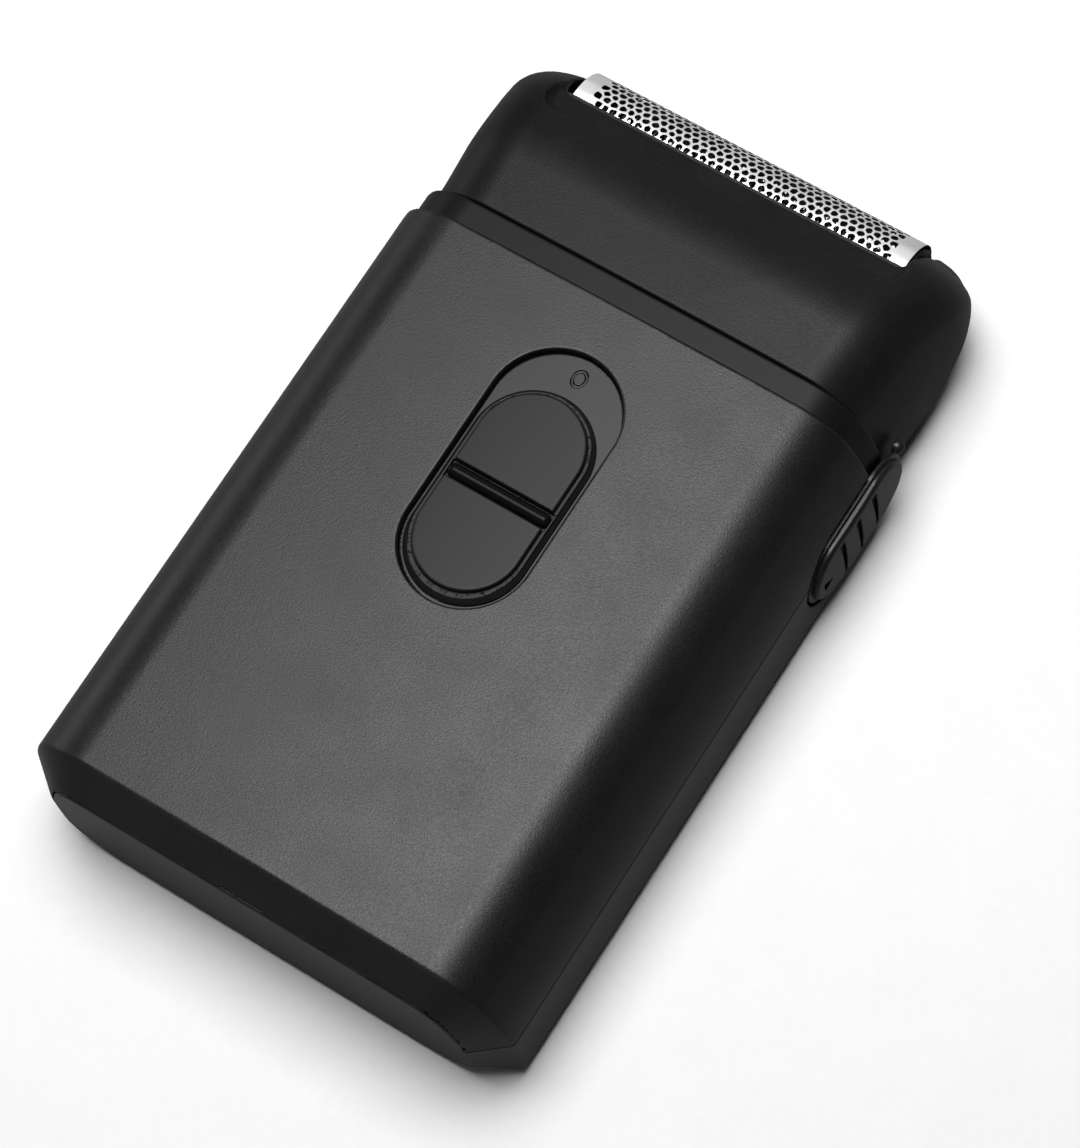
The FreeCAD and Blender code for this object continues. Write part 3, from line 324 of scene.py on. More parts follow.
def skin(solid: Field, xs: Array, ys: Array, zs: Array) -> tuple[Array, Array]:
    """Wraps a field's zero surface in quads over a grid.

    Args:
        solid: The field, negative inside.
        xs: Grid lines across.
        ys: Grid lines along.
        zs: Grid lines up.

    Returns:
        Points, and quads that face outwards.
    """
    axes = (xs, ys, zs)
    values = solid(xs[:, None, None], ys[None, :, None], zs[None, None, :])
    values = np.broadcast_to(values, (len(xs), len(ys), len(zs)))
    inside = values < 0
    cells = tuple(n - 1 for n in inside.shape)
    corners = [(i, j, k) for i in (0, 1) for j in (0, 1) for k in (0, 1)]
    count = np.zeros(cells, np.int8)
    for i, j, k in corners:
        count += inside[i:cells[0] + i, j:cells[1] + j, k:cells[2] + k]
    active = np.argwhere((count > 0) & (count < 8))
    number = np.full(cells, -1, np.int64)
    number[tuple(active.T)] = np.arange(len(active))
    total = np.zeros((len(active), 3))
    hits = np.zeros(len(active))
    for a in corners:
        for axis in range(3):
            if a[axis]:
                continue
            b = list(a)
            b[axis] = 1
            start, end = active + a, active + b
            va, vb = values[tuple(start.T)], values[tuple(end.T)]
            cut = (va < 0) != (vb < 0)
            share = np.where(cut, va / np.where(cut, va - vb, 1.0), 0.0)
            point = np.stack([ax[start[:, n]] for n, ax in enumerate(axes)], axis=1)
            line = axes[axis]
            point[:, axis] += share * (line[end[:, axis]] - line[start[:, axis]])
            total += point * cut[:, None]
            hits += cut
    points = total / hits[:, None]
    reach = 0.5 * np.stack([np.diff(ax)[active[:, n]] for n, ax in enumerate(axes)], axis=1)
    home = points.copy()
    for _ in range(4):
        slope = gradient(solid, points)
        size = np.maximum((slope ** 2).sum(1), 1e-6)
        points = points - slope * (solid(*points.T) / size)[:, None]
        points = np.clip(points, home - reach, home + reach)
    quads = []
    for axis in range(3):
        u, v = [n for n in range(3) if n != axis]
        ahead = [slice(None)] * 3
        ahead[axis] = slice(1, None)
        behind = [slice(None)] * 3
        behind[axis] = slice(0, -1)
        crossing = np.argwhere(inside[tuple(behind)] != inside[tuple(ahead)])
        good = (crossing[:, u] > 0) & (crossing[:, v] > 0)
        good &= (crossing[:, u] < cells[u]) & (crossing[:, v] < cells[v])
        crossing = crossing[good]
        ring = []
        for du, dv in ((-1, -1), (0, -1), (0, 0), (-1, 0)):
            cell = crossing.copy()
            cell[:, u] += du
            cell[:, v] += dv
            ring.append(number[tuple(cell.T)])
        face = np.stack(ring, axis=1)
        leaving = inside[tuple(crossing.T)]
        if axis == 1:
            leaving = ~leaving
        face[~leaving] = face[~leaving][:, ::-1]
        quads.append(face)
    return points, np.concatenate(quads)


def piece(name: str, points: Array, faces: Iterable[Sequence[int]],
          normals: Array | None = None) -> bpy.types.Object:
    """Makes a smooth mesh object.

    Args:
        name: The piece's name.
        points: Its points, in millimetres.
        faces: Its faces as point numbers.
        normals: A shading normal for each point, if known.

    Returns:
        The new object.
    """
    mesh = bpy.data.meshes.new(name)
    mesh.from_pydata((np.asarray(points) * MM).tolist(), [], [list(map(int, f)) for f in faces])
    mesh.update()
    mesh.shade_smooth()
    if normals is not None:
        mesh.normals_split_custom_set_from_vertices(normals.tolist())
    made = bpy.data.objects.new(name, mesh)
    bpy.context.scene.collection.objects.link(made)
    return made


def sculpt(name: str, solid: Field, xs: Array, ys: Array, zs: Array) -> bpy.types.Object:
    """Makes a piece from a field, shaded by the field's own slope."""
    points, faces = skin(solid, xs, ys, zs)
    slope = gradient(solid, points)
    length = np.linalg.norm(slope, axis=1, keepdims=True)
    return piece(name, points, faces, slope / np.maximum(length, 1e-9))


def dress(thing: bpy.types.Object, finish: Finish, body: str, slot: str,
          *stands_for: str) -> bpy.types.Object:
    """Gives a piece its finish, its body and the frame nodes it stands for.

    Args:
        thing: The piece.
        finish: Its finish.
        body: The body it rides on.
        slot: The record's material slot; not used.
        stands_for: Frame nodes that it replaces.

    Returns:
        The same piece.
    """
    thing.data.materials.clear()
    thing.data.materials.append(finish.material())
    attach(thing, body)
    if stands_for:
        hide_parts(*stands_for)
    log.info("%s: %d faces on %s", thing.name, len(thing.data.polygons), body)
    return thing


# ------------------------------------------------------------------ cross-sections

@dataclass(frozen=True)
class Section:
    """A cross-section of three tangent arcs over upright sides.

    Attributes:
        half: Half the width.
        front: Height of the front face's middle.
        shoulder: Centre of the shoulder arc, across and up.
        radius: Radius of the shoulder arc.
        waist: Height where the sides turn upright.
    """

    half: float
    front: float
    shoulder: tuple[float, float]
    radius: float
    waist: float = 12.0

    def flank_radius(self) -> float:
        """Radius of the flank arc, from the shoulder down to the upright sides."""
        across, rise = self.shoulder[0] - self.half, self.shoulder[1] - self.waist
        return (self.radius ** 2 - across ** 2 - rise ** 2) / (2 * (across + self.radius))

    def distance(self, x: Array, z: Array, drop: Array | float = 0.0) -> Array:
        """Distance from the outline of the front and sides.

        The front may be lowered. The shoulder comes down with it as far as the waist, and
        from there it tightens, so that the sides keep their width.

        Args:
            x: Places across.
            z: Heights.
            drop: How far the front is lowered.

        Returns:
            The distance, negative inside.
        """
        x = np.abs(x)
        flank_r = self.flank_radius()
        flank_x = self.half - flank_r
        rise = np.maximum(self.shoulder[1] - self.waist - drop, LEAST_RISE)
        shoulder_z = self.waist + rise
        spare = self.front - self.shoulder[1] - self.radius
        radius = np.clip(self.front - drop - shoulder_z - spare, LEAST_RADIUS, self.radius)
        shoulder_x = flank_x + np.sqrt((flank_r - radius) ** 2 - rise ** 2)
        fall = shoulder_z - (self.front - drop)
        crown_r = (shoulder_x ** 2 + fall ** 2 - radius ** 2) / (-2 * (fall + radius))
        crown_r = np.where(-(fall + radius) > 0.05, crown_r, NEARLY_FLAT)
        crown_z = self.front - drop - crown_r
        dx, dz = x - shoulder_x, z - shoulder_z
        on_crown = shoulder_x * dz - (shoulder_z - crown_z) * dx > 0
        on_flank = (shoulder_x - flank_x) * dz - rise * dx < 0
        waist = np.where(z > self.waist, np.hypot(x - flank_x, z - self.waist) - flank_r,
                         x - self.half + 0 * z)
        bend = np.hypot(dx, dz) - radius
        crown = np.hypot(x, z - crown_z) - crown_r
        return np.where(on_crown, crown, np.where(on_flank, waist, bend))


@dataclass(frozen=True)
class CasingForm:
    """The casing's outside shape and its openings.

    Attributes:
        heel: Flat end.
        bevel: Where the heel's bevel starts.
        bevel_in: How far the bevel draws the front and sides in.
        lift: How far the bevel raises the back.
        edge: Rounding of the bevel's crease.
        slot_start: Centre of the trimmer slot's round end.
        slot_in: How far in the side openings reach.
        mouth: Length of the open end at the neck.
    """

    section: Section = Section(31.0, 26.0, (21.56, 17.7), 8.0)
    top: float = 25.0
    heel: float = -51.3
    bevel: float = -47.9
    bevel_in: float = 4.2
    lift: float = 1.4
    wall: float = 1.5
    back_round: float = 3.0
    heel_round: float = 7.0
    edge: float = 0.28
    slot_start: float = 17.15
    slot_z: float = 9.25
    slot_half: float = 6.25
    slot_in: float = 26.0
    mouth: float = 6.0
    port_y: float = -38.0
    port_z: float = 12.0
    port_reach: float = 2.8
    port_half: float = 1.75

    def side(self, x: Array, z: Array, t: Array | float) -> Array:
        """Distance from the sides, front and back at a share of the bevel's depth."""
        front = self.section.distance(x, z) + self.bevel_in * t
        t = np.clip(t, -0.4, 1.4)
        half = self.section.half - self.bevel_in * t
        r = self.back_round + (self.heel_round - self.back_round) * t
        a, b = np.abs(x) - half + r, self.lift * t + r - z
        back = np.hypot(np.maximum(a, 0), np.maximum(b, 0)) + np.minimum(np.maximum(a, b), 0) - r
        return np.where(z >= self.section.waist, front, back)

    def outside(self, x: Array, y: Array, z: Array) -> Array:
        """Distance from the whole casing, closed at both ends."""
        slope = self.bevel_in / (self.bevel - self.heel)
        t = (self.bevel - y) / (self.bevel - self.heel)
        straight = self.side(x, z, 0.0)
        leaning = self.side(x, z, t) / math.hypot(1.0, slope)
        body = meet(straight, leaning, self.edge)
        body = meet(body, self.heel - y, 0.35)
        return meet(body, y - self.top, 0.3)

    def hollow(self, x: Array, y: Array, z: Array) -> Array:
        """The casing as a thin wall, open at the neck."""
        outer = self.outside(x, y, z)
        closed = np.where(y > self.top - self.mouth, self.side(x, z, 0.0), outer)
        return meet(outer, -(closed + self.wall), 0.2)

    def openings(self, x: Array, y: Array, z: Array) -> Array:
        """The trimmer slot on the right side and the charging port on the left."""
        slot = pill(z - self.slot_z, y, self.slot_start, 90.0, self.slot_half)
        slot = np.maximum(slot, self.slot_in - x)
        port = pill(z - self.port_z, y, self.port_y - self.port_reach,
                    self.port_y + self.port_reach, self.port_half)
        return np.minimum(slot, np.maximum(port, x + self.slot_in))


# ------------------------------------------------------------------ casing

@dataclass
class Casing:
    """Front and back shells of the casing.

    Attributes:
        recess_under: Underside of the thick part around the switch recess.
        recess_wall: Width of that thick part.
        boss_span: Heights between which the boss stands.
    """

    form: CasingForm = field(default_factory=CasingForm)
    seam_gap: float = 0.14
    seam_edge: float = 0.16
    recess_half: float = 7.64
    recess_low: float = -6.1
    recess_high: float = 10.8
    recess_floor: float = 24.5
    recess_under: float = 23.0
    recess_wall: float = 1.6
    screws: tuple[tuple[float, float], ...] = ((20.0, -43.0), (-20.0, -43.0), (-22.0, 17.5))
    bore_r: float = 2.2
    bore_top: float = 2.4
    boss_r: float = 3.1
    boss_span: tuple[float, float] = (0.3, 11.5)

    def front(self, x: Array, y: Array, z: Array) -> Array:
        """Field of the front shell."""
        form = self.form
        shell = form.hollow(x, y, z)
        oval = pill(x, y, self.recess_low, self.recess_high, self.recess_half)
        thick = np.maximum(np.maximum(form.outside(x, y, z), oval - self.recess_wall),
                           self.recess_under - z)
        shell = np.minimum(shell, thick)
        shell = carve(shell, np.maximum(oval, self.recess_floor - z), 0.28)
        shell = meet(shell, form.section.waist + self.seam_gap - z, self.seam_edge)
        plug = np.maximum(form.section.distance(x, z) + form.bevel_in + 0.02,
                          y - form.heel - form.wall - 0.2)
        shell = carve(shell, plug, 0.1)
        return carve(shell, form.openings(x, y, z), 0.22)

    def back(self, x: Array, y: Array, z: Array) -> Array:
        """Field of the back shell with the flat heel panel."""
        form = self.form
        lower = meet(form.hollow(x, y, z), z - form.section.waist, self.seam_edge)
        lower = carve(lower, form.openings(x, y, z), 0.22)
        inset = form.section.distance(x, z) + form.bevel_in + 0.16
        face = meet(inset, form.heel - y, 0.3)
        face = np.maximum(face, y - form.heel - form.wall)
        face = np.maximum(face, form.section.waist - 1.0 - z)
        back = join(lower, face, 0.0)
        foot, head = self.boss_span
        for screw_x, screw_y in self.screws:
            away = np.hypot(x - screw_x, y - screw_y)
            bore = np.maximum(away - self.bore_r, z - self.bore_top)
            boss = np.maximum(away - self.boss_r, np.maximum(foot - z, z - head))
            back = join(back, boss, 0.3)
            back = carve(back, bore, 0.25)
        return back

    def build(self) -> None:
        """Makes both shells."""
        xs = steps((-31.5, -8.6, 0.45), (-8.6, 8.6, 0.17), (8.6, 28.5, 0.45), (28.5, 31.5, 0.25))
        ys = steps((-51.7, -46.4, 0.16), (-46.4, -14.6, 0.8), (-14.6, 25.5, 0.2))
        zs = steps((11.7, 12.7, 0.1), (12.7, 22.6, 0.42), (22.6, 26.3, 0.16))
        shell = sculpt("front_cover", self.front, xs, ys, zs)
        dress(shell, FRONT_SATIN, "casing", "front_plastic", "front_shell")
        xs = steps((-31.5, 28.3, 0.45), (28.3, 31.5, 0.22))
        ys = steps((-51.7, -46.4, 0.16), (-46.4, 10.0, 0.6), (10.0, 25.5, 0.22))
        zs = steps((-0.4, 11.4, 0.35), (11.4, 12.4, 0.1), (12.4, 22.2, 0.4))
        shell = sculpt("back_cover", self.back, xs, ys, zs)
        dress(shell, BACK_SATIN, "casing", "back_plastic", "back_shell")


@dataclass
class Neck:
    """Collar band and spigot under the foil head.

    Attributes:
        plug_in: How far the plug stands in from the casing.
        relief_x: Where the trimmer's path is cut from the right side.
        relief_z: Height up to which it is cut.
    """

    form: CasingForm = field(default_factory=CasingForm)
    collar_in: float = 0.8
    collar_low: float = 25.08
    collar_top: float = 28.18
    back: float = 4.65
    plug_in: float = 1.75
    plug_low: float = 21.5
    spigot_in: float = 3.7
    spigot_back: float = 6.3
    spigot_top: float = 32.0
    well_half: tuple[float, float] = (17.0, 5.6)
    well_low: float = 24.0
    well_z: float = 12.5
    relief_x: float = 27.35
    relief_z: float = 12.7

    def field(self, x: Array, y: Array, z: Array) -> Array:
        """Field of the neck frame."""
        outline = self.form.section.distance(x, z)
        collar = meet(outline + self.collar_in, self.back - z, 1.0)
        collar = meet(collar, y - self.collar_top, 0.3)
        collar = meet(collar, self.collar_low - y, 0.2)
        plug = np.maximum(meet(outline + self.plug_in, self.back - z, 0.8),
                          np.maximum(self.plug_low - y, y - self.collar_low - 0.3))
        spigot = meet(outline + self.spigot_in, self.spigot_back - z, 0.8)
        spigot = meet(spigot, np.maximum(self.collar_low - y, y - self.spigot_top), 0.4)
        solid = np.minimum(np.minimum(collar, plug), spigot)
        well = np.maximum(panel(x, z - self.well_z, *self.well_half, 0.8), self.well_low - y)
        relief = np.maximum(self.relief_x - x, z - self.relief_z)
        return carve(carve(solid, well, 0.2), relief, 0.1)

    def build(self) -> None:
        """Makes the neck."""
        xs = steps((-30.6, 30.6, 0.4))
        ys = steps((21.2, 24.8, 0.5), (24.8, 28.6, 0.12), (28.6, 32.4, 0.3))
        zs = steps((4.3, 25.6, 0.35))
        neck = sculpt("collar_neck", self.field, xs, ys, zs)
        dress(neck, COLLAR_SATIN, "casing", "collar_plastic", "neck_frame")


# ------------------------------------------------------------------ foil head

@dataclass
class Head:
    """Cover of the foil head with two rounded horns, ledge and lip.

    Attributes:
        top: Height that the horns' round corners aim for.
        nose: Where the horns are cut off.
        bulge: How much wider the head gets above the collar.
        lean_start: Where the front starts to lean back.
        lean_r: Radius of the lean.
        ledge: Lower edge of the ledge under the foil.
        step_z: Height of the ledge at the lip.
        lip: Edge of the opening for the foil.
        inner_top: Top of the room inside.
    """

    section: Section = Section(29.4, 25.2, (20.3, 17.2), 7.7, 7.0)
    low: float = 28.32
    top: float = 54.6
    back: float = 4.55
    nose: float = 53.75
    bulge: float = 0.5
    corner: float = 9.6
    lean_start: float = 35.0
    lean_r: float = 18.7
    ledge: float = 42.7
    step_z: float = 20.1
    lip: float = 46.3
    horn_in: float = 22.3
    foil_z: float = 12.5
    mouth_half: float = 6.5
    mouth_low: float = 39.5
    step_fall: float = 0.28
    step_corner: float = 2.6
    wall: float = 1.5
    inner_top: float = 41.2
    window_half: float = 4.6
    window_z: float = 8.0
    window_top: float = 41.0

    def outside(self, x: Array, y: Array, z: Array, inset: float = 0.0) -> Array:
        """Field of the closed outside, drawn in by an inset."""
        wide = self.section.half + self.bulge * ease(np.clip((y - self.low) / 9.0, 0.0, 1.0))
        plan = meet(np.abs(x) - wide, y - self.top, self.corner)
        shape = self.section.distance(self.section.half + plan, z, self.fall(y)) + inset
        shape = meet(shape, y - self.nose + inset, 1.2)
        back_r = 2.0 + 4.0 * ease(np.clip((y - 40.0) / 9.0, 0.0, 1.0))
        return meet(shape, self.back + inset - z, back_r)

    def fall(self, y: Array) -> Array:
        """How far the front has come down at places along the head."""
        past = np.clip(y - self.lean_start, 0.0, None)
        return self.lean_r - np.sqrt(np.maximum(self.lean_r ** 2 - past ** 2, 1.0))

    def field(self, x: Array, y: Array, z: Array) -> Array:
        """Field of the head cover."""
        solid = meet(self.outside(x, y, z), self.low - y, 0.3)
        deep = 20.0
        step = panel(x, y - self.ledge - deep, self.horn_in + 0.9, deep, self.step_corner)
        step = meet(step, self.step_z - self.step_fall * (y - self.lip) - z, 1.3)
        solid = carve(solid, step, 0.3)
        mouth = panel(x, y - self.lip - deep, self.horn_in, deep, 1.2)
        solid = carve(solid, mouth, 0.5)
        well = panel(x, z - self.foil_z, self.horn_in, self.mouth_half, 0.6)
        well = np.maximum(well, self.mouth_low - y)
        solid = carve(solid, well, 0.3)
        room = np.maximum(self.outside(x, y, z, self.wall), y - self.inner_top)
        window = np.maximum(np.abs(x) - self.window_half,
                            np.maximum(z - self.window_z, y - self.window_top))
        return carve(carve(solid, room, 0.2), window, 0.2)

    def build(self) -> None:
        """Makes the head cover."""
        xs = steps((-30.4, -20.8, 0.22), (-20.8, 20.8, 0.6), (20.8, 30.4, 0.22))
        ys = steps((27.9, 29.2, 0.13), (29.2, 41.6, 0.5), (41.6, 54.6, 0.2))
        zs = steps((4.2, 25.7, 0.24))
        cover = sculpt("head_horned_cover", self.field, xs, ys, zs)
        dress(cover, HEAD_SATIN, "head", "head_plastic", "head_cover")


@dataclass
class Foil:
    """Arched foil, cut with rows of uneven holes between two plain end bands.

    Attributes:
        band: Width of a plain end band.
        wander: How far a hole strays from its place.
        nip: Share of a side that a cut corner takes.
        foot: Where the straight legs end.
    """

    half: float = 21.75
    band: float = 2.3
    pitch: float = 1.08
    row: float = 0.92
    web: float = 0.27
    wander: float = 0.17
    nip: float = 0.24
    radius: float = 5.6
    thick: float = 0.12
    centre_y: float = 47.0
    centre_z: float = 12.5
    foot: float = 42.6
    seed: int = 11
    same: float = 1e-4

    def arch(self, s: Array, lift: Array | float) -> tuple[Array, Array]:
        """Places along and up for lengths round the arch.

        Args:
            s: Length round the arch from its crest, positive towards the front.
            lift: Depth below the outside.

        Returns:
            Places along Y and heights.
        """
        quarter = math.pi / 2 * self.radius
        turn = np.clip(s, -quarter, quarter) / self.radius
        straight = np.abs(s) - quarter
        r = self.radius - lift
        y = np.where(straight > 0, self.centre_y - straight, self.centre_y + r * np.cos(turn))
        return y, self.centre_z + r * np.sin(turn)

    def seeds(self) -> Array:
        """Middles of the cells, in offset rows that wander a little."""
        rng = np.random.default_rng(self.seed)
        reach = math.pi / 2 * self.radius + 1.0
        rows = int(2 * reach / self.row)
        columns = int((self.half - self.band) * 2 / self.pitch)
        spots = []
        for i in range(rows):
            shift = 0.25 if i % 2 else -0.25
            for j in range(columns):
                at = ((j - (columns - 1) / 2 + shift) * self.pitch, (i - (rows - 1) / 2) * self.row)
                spots.append(np.array(at) + rng.uniform(-self.wander, self.wander, 2))
        return np.array(spots)

    def holes(self) -> list[Array]:
        """Outlines of the holes on the unrolled foil: cells drawn in by half a web."""
        seeds = self.seeds()
        found = []
        for spot in seeds:
            gaps = seeds - spot
            far = np.hypot(*gaps.T)
            limit = 0.5 * self.pitch - 0.5 * self.web + 0.06
            cell = spot + limit * np.array([[-1, -1], [1, -1], [1, 1], [-1, 1]])
            for other in np.argsort(far)[1:13]:
                towards = gaps[other] / far[other]
                cell = trim(cell, towards, towards @ spot + 0.5 * (far[other] - self.web))
            ahead, size = np.roll(cell, -1, axis=0), self.nip
            ring = np.stack([(1 - size) * cell + size * ahead, size * cell + (1 - size) * ahead], 1)
            found.append(ring.reshape(-1, 2))
        return found

    def outline(self, reach: float) -> list[tuple[float, float]]:
        """The edge of the unrolled sheet, from one leg's end to the other's."""
        across = np.arange(-self.half, self.half + 0.01, 1.5)
        along = np.concatenate([[-reach], np.linspace(-9.0, 9.0, 25), [reach]])
        edge = [(x, -reach) for x in across] + [(self.half, s) for s in along]
        edge += [(x, reach) for x in across[::-1]] + [(-self.half, s) for s in along[::-1]]
        kept: list[tuple[float, float]] = []
        for spot in edge:
            if not kept or math.dist(spot, kept[-1]) > self.same:
                kept.append(spot)
        if math.dist(kept[0], kept[-1]) < self.same:
            kept.pop()
        return kept

    def sheet(self) -> tuple[list[Vector], list[list[int]]]:
        """The unrolled sheet with its holes, as points and faces."""
        reach = math.pi / 2 * self.radius + (self.centre_y - self.foot)
        points = self.outline(reach)
        loops = [list(range(len(points)))]
        holes = [ring[::-1] for ring in self.holes()]
        for ring in holes:
            loops.append(list(range(len(points), len(points) + len(ring))))
            points.extend(map(tuple, ring))
        edges = [(loop[i], loop[(i + 1) % len(loop)]) for loop in loops for i in range(len(loop))]
        inner, outer = self.half - 1.6, self.half - 0.7
        points.extend((x, s) for x in (-outer, -inner, inner, outer)
                      for s in np.linspace(-reach + 0.8, reach - 0.8, 22))
        made = delaunay_2d_cdt([Vector(p) for p in points], edges, [], 0, 1e-5)
        spots, faces = made[0], made[2]
        centres = np.array([ring.mean(0) for ring in holes])
        extents = np.array([np.hypot(*(ring - c).T).max() for ring, c in zip(holes, centres)])
        kept = []
        for face in faces:
            mid = np.mean([spots[i][:] for i in face], axis=0)
            if abs(mid[0]) > self.half or abs(mid[1]) > reach:
                continue
            gap = np.hypot(*(centres - mid).T)
            near = int(np.argmin(gap - extents))
            if gap[near] >= extents[near] or not inside_loop(mid, holes[near]):
                kept.append(list(face))
        return spots, kept

    def build(self) -> None:
        """Makes the foil as a thin closed sheet."""
        spots, faces = self.sheet()
        flat = np.array([s[:] for s in spots])
        used = sorted({i for f in faces for i in f})
        renumber = {old: new for new, old in enumerate(used)}
        flat = flat[used]
        faces = [[renumber[i] for i in f] for f in faces]
        layers = []
        for lift in (0.0, self.thick):
            y, z = self.arch(flat[:, 1], lift)
            layers.append(np.stack([flat[:, 0], y, z], 1))
        count = len(flat)
        sides: dict[tuple[int, int], int] = {}
        for f in faces:
            for a, b in zip(f, f[1:] + f[:1]):
                sides[(a, b)] = sides.get((a, b), 0) + 1
        walls = [[b, a, a + count, b + count] for a, b in sides if (b, a) not in sides]
        inner = [[i + count for i in reversed(f)] for f in faces]
        points = np.concatenate(layers)
        foil = piece("arched_foil", points, faces + inner + walls)
        foil.data.set_sharp_from_angle(angle=math.radians(40))
        outward = np.array(foil.data.polygons[0].normal)
        middle = points[faces[0]].mean(0) - np.array([0, self.centre_y, self.centre_z])
        if np.dot(outward[1:], middle[1:]) < 0:
            foil.data.flip_normals()
        dress(foil, FOIL_STEEL, "foil_unit", "foil_steel", "foil")
        # Inner face and hole walls take the painted shade material, so the holes read dark.
        foil.data.materials.append(FOIL_PAINTED_SHADE.material())
        for face in foil.data.polygons[len(faces):]:
            face.material_index = 1


def trim(cell: Array, towards: Array, reach: float) -> Array:
    """Cuts a convex outline off beyond a line.

    Args:
        cell: Corners of the outline.
        towards: Direction the line faces.
        reach: How far out the line stands.

    Returns:
        The corners that are left, with the new ones on the line.
    """
    over = cell @ towards - reach
    kept = []
    for i, corner in enumerate(cell):
        after = (i + 1) % len(cell)
        if over[i] <= 0:
            kept.append(corner)
        if (over[i] < 0) != (over[after] < 0) and over[i] != over[after]:
            share = over[i] / (over[i] - over[after])
            kept.append(corner + share * (cell[after] - corner))
    return np.array(kept)


def inside_loop(point: Array, loop: Array) -> bool:
    """Whether a point is within a closed outline."""
    a, b = loop, np.roll(loop, -1, axis=0)
    side = (b[:, 0] - a[:, 0]) * (point[1] - a[:, 1]) - (b[:, 1] - a[:, 1]) * (point[0] - a[:, 0])
    return bool(np.all(side > 0) or np.all(side < 0))


# ------------------------------------------------------------------ power switch

@dataclass
class PowerSwitch:
    """Glossy recess floor with its off mark, and the sliding switch with two pads.

    Attributes:
        foot_low: How much lower the skirt starts than the pads.
        split_y: Middle of the channel between the pads.
        mark_narrow: Width of the mark over its height.
        hold_top: Top of the stem that the clip holds.
    """

    recess_half: float = 7.59
    low: float = -6.1
    high: float = 10.8
    floor_low: float = 24.5
    floor_top: float = 25.0
    slider_half: float = 7.2
    slider_low: float = -5.66
    slider_high: float = 6.1
    pad_half: float = 6.5
    split_y: float = 0.05
    split_half: float = 1.1
    base_low: float = 25.1
    base_top: float = 25.8
    pad_top: float = 26.55
    foot_low: float = 0.4
    stem_low: float = 22.95
    hold_top: float = 25.4
    mark_y: float = 15.96
    mark_r: float = 0.95
    mark_line: float = 0.16
    mark_narrow: float = 0.78
    bar_r: float = 0.86

    def floor(self, x: Array, y: Array, z: Array) -> Array:
        """Field of the floor plate."""
        plate = pill(x, y, self.low, self.high, self.recess_half)
        plate = meet(plate, z - self.floor_top, 0.12)
        plate = np.maximum(plate, self.floor_low + 0.02 - z)
        slot = np.maximum(np.abs(x) - 2.3, np.abs(y - self.split_y - 2.3) - 5.6)
        ring = np.abs(np.hypot(x / self.mark_narrow, y - self.mark_y) - self.mark_r)
        ring = np.maximum((ring - self.mark_line) * 0.8, self.floor_top - self.mark_line - z)
        return carve(carve(plate, slot, 0.0), ring, 0.06)

    def slider(self, x: Array, y: Array, z: Array) -> Array:
        """Field of the sliding switch."""
        oval = pill(x, y, self.slider_low, self.slider_high, self.pad_half)
        reach = self.slider_half - self.pad_half
        foot = pill(x, y, self.slider_low - self.foot_low, self.slider_high, self.pad_half)
        skirt = (z - self.base_low - 0.1 + (foot - reach) * 0.95) / 1.38
        skirt = np.maximum(skirt, z - self.base_top)
        base = meet(meet(skirt, foot - reach, 0.06), self.base_low - z, 0.05)
        lip = np.maximum(np.abs(oval - 0.16) - 0.10, z - self.base_top - 0.02)
        base = np.minimum(base, np.maximum(lip, self.base_low + 0.1 - z))
        pads = meet(oval + 0.16, z - self.pad_top + 0.0025 * x * x, 0.28)
        pads = np.maximum(pads, self.base_low + 0.1 - z)
        split = np.maximum(np.abs(y - self.split_y) - self.split_half, self.base_low + 0.2 - z)
        pads = carve(pads, split, 0.16)
        base = carve(base, np.maximum(split, oval - 0.02), 0.05)
        stem = panel(x, y - self.split_y, 2.0, 3.0, 0.3)
        stem = np.maximum(stem, np.maximum(self.stem_low - z, z - self.hold_top))
        return np.minimum(np.minimum(base, pads), stem)

    def bar(self, x: Array, y: Array, z: Array) -> Array:
        """Field of the round bar between the two pads."""
        end = np.clip(x, -self.pad_half + 0.75, self.pad_half - 0.75)
        bar = np.sqrt((x - end) ** 2 + (y - self.split_y) ** 2 + (z - self.base_top + 0.25) ** 2)
        return np.maximum(bar - self.bar_r, self.base_low + 0.15 - z)

    def build(self) -> None:
        """Makes the floor, the slider and its bar."""
        xs = steps((-7.9, -1.5, 0.2), (-1.5, 1.5, 0.08), (1.5, 7.9, 0.2))
        ys = steps((-14.0, 14.3, 0.2), (14.3, 17.6, 0.08), (17.6, 18.8, 0.2))
        zs = steps((24.3, 24.7, 0.2), (24.7, 25.2, 0.06))
        plate = sculpt("switch_gloss_floor", self.floor, xs, ys, zs)
        dress(plate, GLOSS_BLACK, "casing", "gloss_plastic", "switch_floor")
        xs = steps((-7.5, -6.0, 0.07), (-6.0, 6.0, 0.25), (6.0, 7.5, 0.07))
        ys = steps((-13.2, -11.6, 0.07), (-11.6, -1.6, 0.2), (-1.6, 1.8, 0.1), (1.8, 11.8, 0.2),
                   (11.8, 13.7, 0.07))
        zs = steps((22.7, 24.9, 0.3), (24.9, 26.8, 0.08))
        slider = sculpt("switch_slider", self.slider, xs, ys, zs)
        dress(slider, PAD_SATIN, "power_switch", "switch_plastic", "power_slider")
        bar = sculpt("switch_grip_bar", self.bar, steps((-6.9, 6.9, 0.14)),
                     steps((-1.1, 1.2, 0.07)), steps((24.9, 26.7, 0.07)))
        dress(bar, BAR_BLACK, "power_switch", "switch_plastic", "power_slider")


# ------------------------------------------------------------------ trimmer

